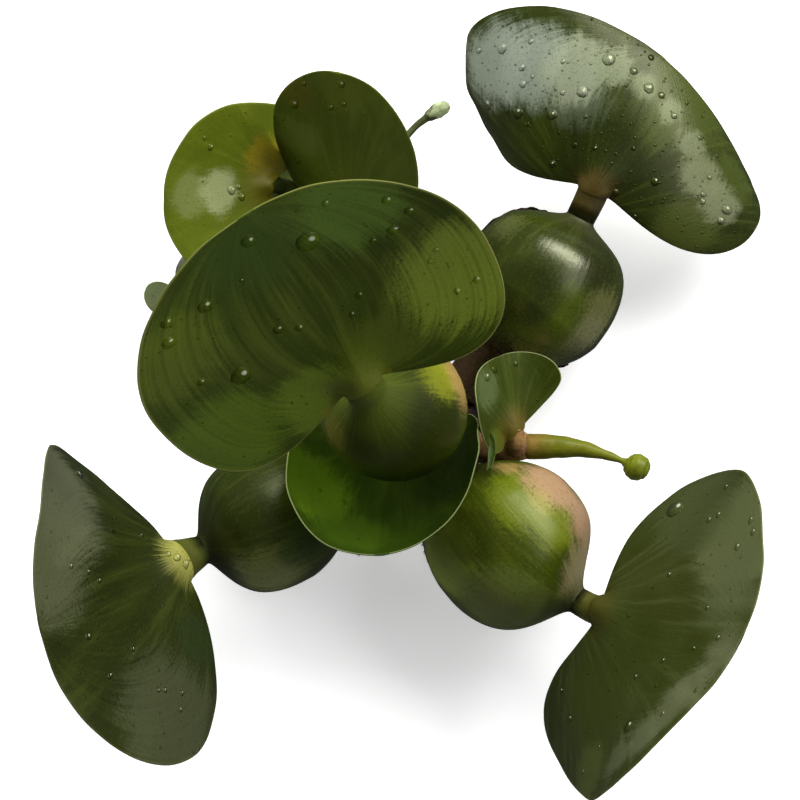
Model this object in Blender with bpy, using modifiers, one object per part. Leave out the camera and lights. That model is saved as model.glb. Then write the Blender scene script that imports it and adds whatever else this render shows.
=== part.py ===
# Water hyacinth plant, picked and laid down as it floats: a rosette of leaves on swollen stalks,
# a side shoot, a daughter plant on a runner, and the roots pressed flat underneath.
# The origin is on the surface the plant rests on, under the middle of the crown.
# Sizes and places below are in millimetres, angles in degrees.
import math

import bmesh
import bpy
from mathutils import Matrix, Vector

MM = 0.001
PLANT = "water_hyacinth"
TOUCH_GAP = 0.55                    # space left between pieces that touch

# Colour, roughness
GREEN_DARK = ((0.035, 0.075, 0.012), 0.32)
GREEN_LEAF = ((0.060, 0.130, 0.018), 0.30)
GREEN_YOUNG = ((0.090, 0.210, 0.020), 0.32)
GREEN_PALE = ((0.220, 0.300, 0.030), 0.38)
GREEN_BULB = ((0.075, 0.120, 0.018), 0.28)
PINK_BROWN = ((0.210, 0.090, 0.050), 0.45)
BROWN_OLD = ((0.070, 0.030, 0.022), 0.60)
ROOT_DARK = ((0.030, 0.017, 0.016), 0.85)

# Crowns: centre and half sizes
MAIN_CROWN = {"centre": (0, 0, 11.5), "half": (8.5, 8.0, 5.5)}
DAUGHTER_CROWN = {"centre": (-30, 28, 8), "half": (5.5, 5.5, 4.3)}

BULB_SIDES = 14
STALK_SIDES = 10
BULB_RINGS = (-84, -68, -51, -34, -17, 0, 17, 34, 51, 68, 84)   # angles round the bulb's profile
NECK_END = 0.6                      # a neck narrows to this share where its blade begins
TIP_WIDTH = 0.06                    # a blade's tip keeps a short edge, as a part of the half width

# Each float: the direction in which it leaves its crown, the middle of its bulb with radius and
# half lengths towards crown and neck, its foot and neck radii, and the top of its neck.
# Each blade: its outline, with the right side before the left, then its curvature per metre across
# (at the base, and the change towards the tip) and along, its twist, and how its midrib points
# (heading from +X, rise, and roll about itself).
LEAVES = {
    "back_right": {
        "crown": MAIN_CROWN, "leaves_at": (56, 5), "colour": GREEN_DARK,
        "belly": (24.6, 33.4, 20.2), "radius": 20.2, "back": 20, "front": 17.6, "foot": 3.2, "neck": 3.1,
        "top": (37.3, 55.3, 29.0),
        "blade": {"length": 39.1, "half": (49.3, 51.2), "widest": (16.2, 25.5), "lobe": (24.3, 26.5),
                  "shoulder": (0.71, 0.63), "base": 3.0, "cup": -21.2, "cup_change": 4.6, "bend": -23.1,
                  "twist": -22.3, "heading": 66.5, "rise": 35.1, "roll": -7.6, "grid": (12, 9)},
    },
    "centre": {
        "crown": MAIN_CROWN, "leaves_at": (105, 70), "colour": GREEN_LEAF,
        "belly": (-12.2, -3.1, 48.0), "radius": 16.7, "back": 18, "front": 17.5, "foot": 3.0, "neck": 3.0,
        "top": (-19.2, -1.5, 70.0),
        "blade": {"length": 57, "half": (38.8, 41.2), "widest": (19.5, 19.5), "lobe": (22.5, 22.5),
                  "shoulder": (0.64, 0.64), "base": 3.0, "cup": 1.7, "cup_change": 8.6, "bend": 7.4,
                  "twist": -2, "heading": 126.4, "rise": 42.4, "roll": -12.7, "grid": (12, 9)},
    },
    "front_left": {
        "crown": MAIN_CROWN, "leaves_at": (215, -12), "colour": GREEN_DARK,
        "belly": (-42.8, -25.1, 18.1), "radius": 18.0, "back": 19, "front": 18.5, "foot": 3.0, "neck": 3.1,
        "top": (-64.5, -36.7, 27.0),
        "blade": {"length": 51.8, "half": (36.7, 42.3), "widest": (20.1, 20.1), "lobe": (-2.4, -2.4),
                  "shoulder": (0.6, 0.6), "base": 3.0, "cup": -12, "cup_change": 21.6, "bend": 1.3,
                  "twist": 26.2, "heading": 216, "rise": 54.3, "roll": -2.9, "grid": (12, 9)},
    },
    "front_right": {
        "crown": MAIN_CROWN, "leaves_at": (287, 4), "colour": GREEN_BULB,
        "belly": (16.0, -31.7, 20.8), "radius": 20.7, "back": 21, "front": 20.7, "foot": 3.1, "neck": 3.1,
        "top": (36.5, -48.5, 27.0),
        "blade": {"length": 52, "half": (42.2, 41.5), "widest": (21.4, 19.2), "lobe": (34.3, 9.9),
                  "shoulder": (0.56, 0.55), "base": 3.0, "cup": -12.2, "cup_change": 24, "bend": 6.3,
                  "twist": 6.9, "heading": -20.1, "rise": 50.7, "roll": -3.8, "grid": (12, 9)},
    },
    "daughter_right": {
        "crown": DAUGHTER_CROWN, "leaves_at": (30, 28), "colour": GREEN_DARK,
        "belly": (-16.0, 38.5, 15.0), "radius": 9.0, "back": 10, "front": 10, "foot": 1.8, "neck": 1.9,
        "top": (-24.0, 51.4, 36.0),
        "blade": {"length": 34.6, "half": (20.4, 20.4), "widest": (12.1, 12.1), "lobe": (11.4, 11.4),
                  "shoulder": (0.54, 0.54), "base": 1.8, "cup": -2.9, "cup_change": 11.1, "bend": 3.7,
                  "twist": -10.2, "heading": 90, "rise": 47.4, "roll": -34.8, "grid": (10, 7)},
    },
    "daughter_back": {
        "crown": DAUGHTER_CROWN, "leaves_at": (108, 25), "colour": GREEN_PALE,
        "belly": (-37.0, 53.6, 18.6), "radius": 9.5, "back": 10.5, "front": 9.5, "foot": 1.8, "neck": 2.0,
        "top": (-43.5, 56.5, 31.0),
        "blade": {"length": 30.8, "half": (21, 22.2), "widest": (10.5, 11.4), "lobe": (19, 13.1),
                  "shoulder": (0.6, 0.6), "base": 1.8, "cup": 11, "cup_change": 2.6, "bend": 7.6,
                  "twist": 6.4, "heading": 197.8, "rise": 29.2, "roll": -29.1, "grid": (10, 7)},
    },
    "daughter_left": {
        "crown": DAUGHTER_CROWN, "leaves_at": (165, 8), "colour": GREEN_BULB,
        "belly": (-58.0, 38.0, 10.0), "radius": 9.6, "back": 12, "front": 10, "foot": 1.7, "neck": 1.2,
        "top": (-69.3, 29.9, 14.0),
        "blade": {"length": 8.4, "half": (4.2, 4.2), "widest": (3.1, 3.1), "lobe": (3, 3),
                  "shoulder": (0.62, 0.62), "base": 0.9, "cup": 9.8, "cup_change": 0, "bend": 11.8,
                  "twist": -3.2, "heading": 158.6, "rise": 31, "roll": 6.4, "grid": (6, 5)},
    },
}

# Leaves with a plain stalk: the young cupped leaf in front and the rolled one on the right.
STALKED = {
    "front_cup": {
        "crown": MAIN_CROWN, "leaves_at": (190, 38), "colour": GREEN_YOUNG, "foot": 2.4, "neck": 1.7,
        "top": (-12.9, -6.8, 20.2),
        "blade": {"length": 45.3, "half": (30.2, 30.6), "widest": (17.4, 17.4), "lobe": (15.8, 15.8),
                  "shoulder": (0.6, 0.6), "base": 2.2, "cup": 45.4, "cup_change": -5.9, "bend": 20.8,
                  "twist": -6.5, "heading": -91.5, "rise": 18.9, "roll": 3.9, "grid": (12, 9)},
    },
    "young": {
        "start": (17.6, -8.5, 24.3), "start_towards": (0.0, 0.55, 0.83), "colour": GREEN_YOUNG,
        "foot": 2.9, "neck": 2.8,
        "top": (16.6, -4.5, 26.0),
        "blade": {"length": 18.9, "half": (14.8, 17.3), "widest": (10.1, 10.1), "lobe": (-6.2, -6.2),
                  "shoulder": (0.6, 0.6), "base": 3.2, "cup": 47.8, "cup_change": 9.6, "bend": -5.5,
                  "twist": 4.6, "heading": 100.6, "rise": 27, "roll": 35, "grid": (10, 7)},
    },
}
BLADE_THICK = {"big": 1.3, "small": 0.9}
SMALL_BLADE = 36                    # a blade shorter than this is a small one

# Side growth: route and radius at each point
SIDE_STEM = [((8.9, -2.6, 13.0), 3.0), ((12.0, -4.6, 15.6), 3.2), ((16.0, -6.2, 18.0), 3.4),
             ((19.0, -7.3, 18.9), 3.2), ((20.5, -7.7, 19.3), 2.6)]
SIDE_SHOOT = [((21.5, -7.9, 19.5), 2.8), ((24.6, -8.2, 20.2), 3.3), ((29.0, -7.7, 21.0), 3.0),
              ((34.5, -8.5, 21.8), 2.2), ((40.0, -10.2, 22.5), 1.3), ((43.4, -11.6, 23.0), 0.8),
              ((44.6, -12.3, 23.1), 1.6), ((45.8, -12.8, 23.2), 2.9), ((47.4, -13.5, 23.4), 3.5),
              ((49.2, -14.3, 23.6), 2.8), ((50.3, -14.8, 23.7), 1.2)]
RUNNER = [((-6.5, 5.8, 10.5), 2.3), ((-12.0, 10.2, 9.4), 2.3), ((-19.0, 17.0, 8.6), 2.2),
          ((-25.6, 23.6, 8.2), 2.1)]
SPROUT = [((-28.3, 33.9, 6.6), 1.0), ((-26.0, 43.0, 7.2), 1.0), ((-20.5, 58.0, 9.0), 1.0),
          ((-12.5, 71.5, 11.0), 0.9), ((-7.5, 77.8, 12.0), 0.9), ((-4.6, 80.2, 12.4), 1.0),
          ((-3.0, 81.3, 12.8), 1.5), ((-1.0, 82.4, 13.3), 2.0), ((0.7, 83.1, 13.7), 1.7),
          ((2.0, 83.5, 14.0), 0.8)]

# Old leaf sheaths: thin strips bent round a float, by angle about its middle
OLD_SHEATHS = {
    "old_sheath_back": {"round": "back_right", "from": 78, "to": 150, "low": 10.5, "high": 23, "off": 1.1,
                        "flare": 3.2, "thick": 0.7},
    "old_sheath_right": {"round": "back_right", "from": -106, "to": -72, "low": 11, "high": 21, "off": 1.1,
                         "flare": 0.4, "thick": 0.7},
}
YOUNG_SHEATH = {"route": ((10.4, -6.8, 32.6), (14.4, -7.4, 33.2), (13.2, -12.2, 33.5), (11.2, -16.0, 36.0)),
                "width": 2.6, "thick": 0.6}

# Roots: a flat-bottomed mat under each crown, and feathery strands that lie on the surface
ROOT_MATS = {
    "root_mat": {"centre": (0, 0), "half": (16.5, 14.5), "height": 5.5, "lumps": 9},
    "daughter_root_mat": {"centre": (-30, 28), "half": (8.5, 8.0), "height": 3.2, "lumps": 7},
}
ROOT_STRANDS = {                    # heading of each, its length, and how far it curls sideways
    "root_1": (76, 29, 3.0),
    "root_2": (101, 33, -4.0),
    "root_3": (124, 22, 3.5),
    "root_4": (166, 35, 5.0),
    "root_5": (189, 31, -3.5),
    "root_6": (239, 24, 3.0),
    "root_7": (262, 20, -2.5),
}
STRAND_RADIUS = 2.1
STRAND_FLAT = 0.62                  # a wet strand lies flatter than it is wide


def lerp(a, b, t):
    return a + (b - a) * t


def direction(heading, rise):
    """Unit vector with this compass heading from +X and this rise above the surface."""
    h, r = math.radians(heading), math.radians(rise)
    return Vector((math.cos(r) * math.cos(h), math.cos(r) * math.sin(h), math.sin(r)))


def material(name, colour):
    mat = bpy.data.materials.new(name)
    mat.use_nodes = True
    shader = mat.node_tree.nodes["Principled BSDF"]
    shader.inputs["Base Color"].default_value = (*colour[0], 1)
    shader.inputs["Roughness"].default_value = colour[1]
    shader.inputs["Metallic"].default_value = 0.0
    mat.diffuse_color = (*colour[0], 1)
    return mat


def add_part(name, data, colour, collection):
    """New object in the collection, in millimetres scaled to metres."""
    obj = bpy.data.objects.new(name, data)
    collection.objects.link(obj)
    data.materials.append(material(name, colour))
    return obj


def mesh_from(bm, name):
    bmesh.ops.scale(bm, vec=(MM, MM, MM), verts=bm.verts)
    bmesh.ops.recalc_face_normals(bm, faces=bm.faces)
    mesh = bpy.data.meshes.new(name)
    bm.to_mesh(mesh)
    bm.free()
    mesh.shade_smooth()
    return mesh


def tube(name, points, radii, sides, colour, collection):
    """Round tube along a route, with its own radius at each point and flat ends."""
    thick = max(radii)
    curve = bpy.data.curves.new(name, "CURVE")
    curve.dimensions = "3D"
    curve.bevel_depth = thick * MM
    curve.bevel_resolution = (sides - 4) // 2
    curve.use_fill_caps = True
    spline = curve.splines.new("POLY")
    spline.points.add(len(points) - 1)
    for place, point, radius in zip(spline.points, points, radii):
        place.co = (*(Vector(point) * MM), 1)
        place.radius = radius / thick
    return add_part(name, curve, colour, collection)


def hermite(a, b, slope_a, slope_b, t):
    """Point at t on a smooth arc from a to b that leaves and arrives along the slopes."""
    t2, t3 = t * t, t * t * t
    return (a * (2 * t3 - 3 * t2 + 1) + slope_a * (t3 - 2 * t2 + t)
            + b * (3 * t2 - 2 * t3) + slope_b * (t3 - t2))


def crown_exit(crown, leaves_at):
    """Where something leaves a crown on this side of it, and the way it grows out of the surface."""
    out = direction(*leaves_at)
    half = crown["half"]
    spot = out / math.sqrt(sum((c / h) ** 2 for c, h in zip(out, half)))
    normal = Vector([c / h ** 2 for c, h in zip(spot, half)]).normalized()
    return Vector(crown["centre"]) + spot + normal * TOUCH_GAP, normal


def blade_top_direction(blade):
    return direction(blade["heading"], blade["rise"])


def float_axis(leaf, steps=60):
    """Finely spaced points along a float from foot to neck, and the index of its middle."""
    foot, out = crown_exit(leaf["crown"], leaf["leaves_at"])
    belly, top = Vector(leaf["belly"]), Vector(leaf["top"])
    end = blade_top_direction(leaf["blade"])
    top = top - end * TOUCH_GAP
    through = (top - foot).normalized()
    near, far = (belly - foot).length, (top - belly).length
    line = [hermite(foot, belly, out * near * 0.8, through * near, i / steps) for i in range(steps)]
    line += [hermite(belly, top, through * far, end * far * 0.8, i / steps) for i in range(steps + 1)]
    return line, steps


def along(line, distance):
    """Point at this distance along a finely spaced line."""
    for a, b in zip(line, line[1:]):
        step = (b - a).length
        if distance <= step:
            return a.lerp(b, distance / step)
        distance -= step
    return line[-1].copy()


def line_length(line):
    return sum((b - a).length for a, b in zip(line, line[1:]))


def bulb_radius(leaf, offset):
    """Radius at this distance from the bulb's middle: a bulb that eases into stalk and neck."""
    half = leaf["back"] if offset < 0 else leaf["front"]
    stalk = leaf["foot"] if offset < 0 else leaf["neck"]
    bulb = leaf["radius"] * math.sqrt(max(0.0, 1 - (offset / half) ** 2))
    return min(leaf["radius"], (stalk ** 3 + bulb ** 3) ** (1 / 3))


def add_float(name, leaf, collection):
    """Swollen leaf stalk from its crown to the top of its neck."""
    line, middle = float_axis(leaf)
    back = line_length(line[:middle + 1])
    front = line_length(line[middle:])
    offsets = [math.sin(math.radians(a)) * (leaf["back"] if a < 0 else leaf["front"]) for a in BULB_RINGS]
    ends_back = [o for o in (-back, -(back + leaf["back"]) / 2) if o < -leaf["back"] - 1]
    ends_front = [o for o in ((front + leaf["front"]) / 2, front) if o > leaf["front"] + 1]
    offsets = [o for o in offsets if -back + 0.5 < o < front - 0.5]
    offsets = sorted({-back, front, *ends_back, *ends_front, *offsets})
    offsets.insert(-1, front - 0.8 * leaf["neck"])
    points = [along(line, o + back) for o in offsets]
    radii = [bulb_radius(leaf, o) for o in offsets]
    radii[-1] *= NECK_END
    return tube(name, points, radii, BULB_SIDES, leaf["colour"], collection)


def outline_point(blade, side, v):
    """Point of the flat outline on one side, from the neck (0) round the lobe to the tip (1)."""
    of_side = 0 if side > 0 else 1
    half, wide, lobe, shoulder = (blade[key][of_side] for key in ("half", "widest", "lobe", "shoulder"))
    length = blade["length"]
    if v < 0.5:
        t = v * 2
        bends = ((blade["base"], 0), (half * 0.2, 0), (half, -lobe), (half, wide))
    else:
        t = v * 2 - 1
        bends = ((half, wide), (half, lerp(wide, length, shoulder)), (half * 0.55, length), (0, length))
    weights = ((1 - t) ** 3, 3 * (1 - t) ** 2 * t, 3 * (1 - t) * t * t, t ** 3)
    return side * sum(w * p[0] for w, p in zip(weights, bends)), sum(w * p[1] for w, p in zip(weights, bends))


def flat_point(blade, u, v):
    """Point of the flat blade on vein line u (-1 to 1, 0 the midrib) at v from neck to tip."""
    side = 1 if u >= 0 else -1
    x, y = outline_point(blade, side, v)
    x += side * TIP_WIDTH * blade["half"][0] * max(0.0, v * 4 - 3) ** 2
    return abs(u) * x, lerp(blade["length"] * v, y, abs(u))


def shaped_point(blade, x, y):
    """A point of the flat blade, cupped across, twisted, then bent along its length."""
    share = y / blade["length"]
    cup = (blade["cup"] + blade["cup_change"] * share) * MM or 1e-6
    x, z = math.sin(cup * x) / cup, (1 - math.cos(cup * x)) / cup
    twist = math.radians(blade["twist"]) * share
    x, z = x * math.cos(twist) - z * math.sin(twist), x * math.sin(twist) + z * math.cos(twist)
    bend = blade["bend"] * MM or 1e-6
    angle = bend * y
    return Vector((x, math.sin(angle) / bend - z * math.sin(angle),
                   (1 - math.cos(angle)) / bend + z * math.cos(angle)))


def add_blade(name, leaf, collection):
    """Kidney-shaped blade at the top of a leaf's neck: a shaped sheet with a thickness."""
    blade = leaf["blade"]
    across, up = blade["grid"]
    bm = bmesh.new()
    bmesh.ops.create_grid(bm, x_segments=across, y_segments=up, size=1)
    for vert in bm.verts:
        vert.co = shaped_point(blade, *flat_point(blade, vert.co.x, (vert.co.y + 1) / 2))
    obj = add_part(name, mesh_from(bm, name), leaf["colour"], collection)
    turn = (Matrix.Rotation(math.radians(blade["heading"] - 90), 4, "Z")
            @ Matrix.Rotation(math.radians(blade["rise"]), 4, "X")
            @ Matrix.Rotation(math.radians(blade["roll"]), 4, "Y"))
    obj.matrix_world = Matrix.Translation(Vector(leaf["top"]) * MM) @ turn
    solid = obj.modifiers.new("Thickness", "SOLIDIFY")
    solid.thickness = BLADE_THICK["small" if blade["length"] < SMALL_BLADE else "big"] * MM
    solid.offset = 0
    return obj


def add_stalk(name, leaf, collection):
    """Plain round stalk of a young leaf."""
    if "crown" in leaf:
        foot, out = crown_exit(leaf["crown"], leaf["leaves_at"])
    else:
        foot, out = Vector(leaf["start"]), Vector(leaf["start_towards"]).normalized()
    end = blade_top_direction(leaf["blade"])
    top = Vector(leaf["top"]) - end * TOUCH_GAP
    reach = (top - foot).length
    steps = 6
    points = [hermite(foot, top, out * reach, end * reach, i / steps) for i in range(steps + 1)]
    radii = [lerp(leaf["foot"], leaf["neck"], i / steps) for i in range(steps + 1)]
    radii[-1] *= NECK_END
    return tube(name, points, radii, STALK_SIDES, leaf["colour"], collection)


def add_crown(name, crown, collection):
    """Short thick stem: a ball pressed to an oval, ringed by the scars of old leaves."""
    bm = bmesh.new()
    bmesh.ops.create_uvsphere(bm, u_segments=14, v_segments=8, radius=1)
    for vert in bm.verts:
        ring = 1 - 0.04 * (0.5 + 0.5 * math.cos(vert.co.z * 9))
        vert.co = Vector([c * h * ring for c, h in zip(vert.co, crown["half"])])
    obj = add_part(name, mesh_from(bm, name), BROWN_OLD, collection)
    obj.location = Vector(crown["centre"]) * MM
    return obj


def add_root_mat(name, mat, collection):
    """Mass of roots pressed flat underneath: the upper half of a lumpy ball on a flat face."""
    bm = bmesh.new()
    bmesh.ops.create_uvsphere(bm, u_segments=22, v_segments=10, radius=1)
    bmesh.ops.delete(bm, geom=[v for v in bm.verts if v.co.z < -0.01], context="VERTS")
    bmesh.ops.edgeloop_fill(bm, edges=[e for e in bm.edges if e.is_boundary])
    for vert in bm.verts:
        turn = math.atan2(vert.co.y, vert.co.x)
        out = 1 - 0.07 * (1 + math.sin(turn * mat["lumps"])) * (1 - vert.co.z)
        vert.co.x *= mat["half"][0] * out
        vert.co.y *= mat["half"][1] * out
        vert.co.z *= mat["height"]
    bmesh.ops.triangulate(bm, faces=bm.faces)
    obj = add_part(name, mesh_from(bm, name), ROOT_DARK, collection)
    obj.location = (mat["centre"][0] * MM, mat["centre"][1] * MM, 0)
    return obj


def add_root_strand(name, strand, collection):
    """Feathery root that lies on the surface: a flattened round form, tapered to its tip."""
    heading, length, curl = strand
    out = direction(heading, 0)
    side = Vector((-out.y, out.x, 0))
    mat = ROOT_MATS["root_mat"]
    start = 1.06 / math.sqrt((out.x / mat["half"][0]) ** 2 + (out.y / mat["half"][1]) ** 2)
    steps = 8
    rings = 7
    bm = bmesh.new()
    bmesh.ops.create_cone(bm, cap_ends=True, segments=rings, radius1=1, radius2=1, depth=1)
    bmesh.ops.translate(bm, verts=bm.verts, vec=(0, 0, 0.5))
    stem = [e for e in bm.edges if abs(e.verts[0].co.z - e.verts[1].co.z) > 0.5]
    bmesh.ops.subdivide_edges(bm, edges=stem, cuts=steps - 1, use_grid_fill=True)
    for vert in bm.verts:
        t = vert.co.z
        radius = STRAND_RADIUS * (0.75 + 0.6 * t - 1.2 * t * t)
        reach = lerp(start, start + length, t)
        sway = curl * math.sin(t * math.pi * 1.15) * t
        across = vert.co.x * radius
        lift = (vert.co.y + 1) * radius * STRAND_FLAT
        vert.co = out * reach + side * (sway + across) + Vector((0, 0, max(0.0, lift) + 0.05))
    return add_part(name, mesh_from(bm, name), ROOT_DARK, collection)


def add_old_sheath(name, sheath, collection):
    """Dry strip of an old leaf's sheath, curved round the float that pushed it aside."""
    leaf = LEAVES[sheath["round"]]
    middle = Vector(leaf["belly"])
    bm = bmesh.new()
    bmesh.ops.create_grid(bm, x_segments=10, y_segments=3, size=1)
    for vert in bm.verts:
        share, rise = (vert.co.x + 1) / 2, (vert.co.y + 1) / 2
        turn = math.radians(lerp(sheath["from"], sheath["to"], share))
        height = lerp(sheath["low"], sheath["high"], rise * (0.55 + 0.45 * math.sin(math.pi * share)))
        reach = leaf["radius"] + sheath["off"] + sheath["thick"] + sheath["flare"] * share ** 6
        flat = math.sqrt(max(1.0, reach ** 2 - (height - middle.z) ** 2))
        vert.co = Vector((middle.x + flat * math.cos(turn), middle.y + flat * math.sin(turn), height))
    obj = add_part(name, mesh_from(bm, name), BROWN_OLD, collection)
    solid = obj.modifiers.new("Thickness", "SOLIDIFY")
    solid.thickness = sheath["thick"] * MM
    solid.offset = 0
    return obj


def add_young_sheath(name, sheath, collection):
    """Narrow curled strip at the foot of the rolled young leaf."""
    a, b, c, d = (Vector(p) for p in sheath["route"])
    bm = bmesh.new()
    bmesh.ops.create_grid(bm, x_segments=2, y_segments=9, size=1)
    for vert in bm.verts:
        t = (vert.co.y + 1) / 2
        spot = a * (1 - t) ** 3 + b * 3 * (1 - t) ** 2 * t + c * 3 * (1 - t) * t * t + d * t ** 3
        width = sheath["width"] * (0.45 + 0.55 * math.sin(math.pi * (0.15 + 0.8 * t)))
        vert.co = spot + Vector((0.9, 0.3, 0.3)) * (vert.co.x * width / 2) \
            + Vector((0, 0, 0.5)) * (vert.co.x ** 2 * width / 2)
    obj = add_part(name, mesh_from(bm, name), GREEN_YOUNG, collection)
    solid = obj.modifiers.new("Thickness", "SOLIDIFY")
    solid.thickness = sheath["thick"] * MM
    solid.offset = 0
    return obj


def add_route(name, route, colour, collection, sides=STALK_SIDES):
    return tube(name, [p for p, r in route], [r for p, r in route], sides, colour, collection)


def build():
    for obj in list(bpy.data.objects):
        bpy.data.objects.remove(obj, do_unlink=True)
    collection = bpy.data.collections.new(PLANT)
    bpy.context.scene.collection.children.link(collection)

    add_crown("crown", MAIN_CROWN, collection)
    add_crown("daughter_crown", DAUGHTER_CROWN, collection)
    for name, leaf in LEAVES.items():
        add_float(name + "_float", leaf, collection)
        add_blade(name + "_blade", leaf, collection)
    for name, leaf in STALKED.items():
        add_stalk(name + "_stalk", leaf, collection)
        add_blade(name + "_blade", leaf, collection)
    add_route("side_stem", SIDE_STEM, PINK_BROWN, collection, 12)
    add_route("side_shoot", SIDE_SHOOT, GREEN_PALE, collection, 12)
    add_route("runner", RUNNER, PINK_BROWN, collection)
    add_route("sprout", SPROUT, GREEN_BULB, collection, 8)
    for name, sheath in OLD_SHEATHS.items():
        add_old_sheath(name, sheath, collection)
    add_young_sheath("young_sheath", YOUNG_SHEATH, collection)
    for name, mat in ROOT_MATS.items():
        add_root_mat(name, mat, collection)
    for name, strand in ROOT_STRANDS.items():
        add_root_strand(name, strand, collection)


build()
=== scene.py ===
import math
import random

import bpy
import numpy as np
from mathutils import Matrix, Vector, noise


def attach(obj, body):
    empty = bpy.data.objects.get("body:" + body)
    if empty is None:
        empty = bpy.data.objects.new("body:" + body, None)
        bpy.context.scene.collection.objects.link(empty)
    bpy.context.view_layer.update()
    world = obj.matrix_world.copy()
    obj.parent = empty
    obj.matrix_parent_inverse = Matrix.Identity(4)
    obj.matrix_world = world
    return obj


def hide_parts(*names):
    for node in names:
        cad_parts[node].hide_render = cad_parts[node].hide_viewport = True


# A water hyacinth picked and laid down, seen from above. Lengths are in millimetres.
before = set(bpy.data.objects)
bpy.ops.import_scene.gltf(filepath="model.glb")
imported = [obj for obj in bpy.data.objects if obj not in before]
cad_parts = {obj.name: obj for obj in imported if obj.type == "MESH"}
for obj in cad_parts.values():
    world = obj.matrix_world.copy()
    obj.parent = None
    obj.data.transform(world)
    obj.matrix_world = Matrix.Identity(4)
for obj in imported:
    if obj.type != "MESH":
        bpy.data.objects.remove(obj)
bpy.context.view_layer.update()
mm = 0.001


def mix(a, b, t):
    return a + (b - a) * t


def fade(value, start, end):  # 0 at start, 1 at end, eased between
    t = min(1.0, max(0.0, (value - start) / (end - start)))
    return t * t * (3 - 2 * t)


def unit(heading, rise):
    h, r = math.radians(heading), math.radians(rise)
    return Vector((math.cos(r) * math.cos(h), math.cos(r) * math.sin(h), math.sin(r)))


def tone(red, green, blue):  # a colour given in thousandths
    return (red / 1000, green / 1000, blue / 1000, 1.0)


def circle(count):  # evenly spaced angles
    return [2 * math.pi * j / count for j in range(count)]


def slimEnds(t, power=1):  # 1 in the middle, less towards 0 and 1
    return 0.35 + 0.65 * math.sin(math.pi * t) ** power


def rough3(x, y, z):  # seeded unevenness between about -1 and 1
    return noise.noise(Vector((x, y, z)))


# Shader building

def operator(operation, reflected=False):
    def applied(self, other):
        return self.sum(operation, *((other, self) if reflected else (self, other)))
    return applied


class Wire:  # an output socket that takes part in sums
    def __init__(self, finish, socket):
        self.finish, self.socket = finish, socket

    def sum(self, operation, *values):
        return self.finish.node("ShaderNodeMath", {"operation": operation}, values)

    __add__, __radd__ = operator("ADD"), operator("ADD", True)
    __sub__, __rsub__ = operator("SUBTRACT"), operator("SUBTRACT", True)
    __mul__, __rmul__ = operator("MULTIPLY"), operator("MULTIPLY", True)
    __truediv__ = operator("DIVIDE")


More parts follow.
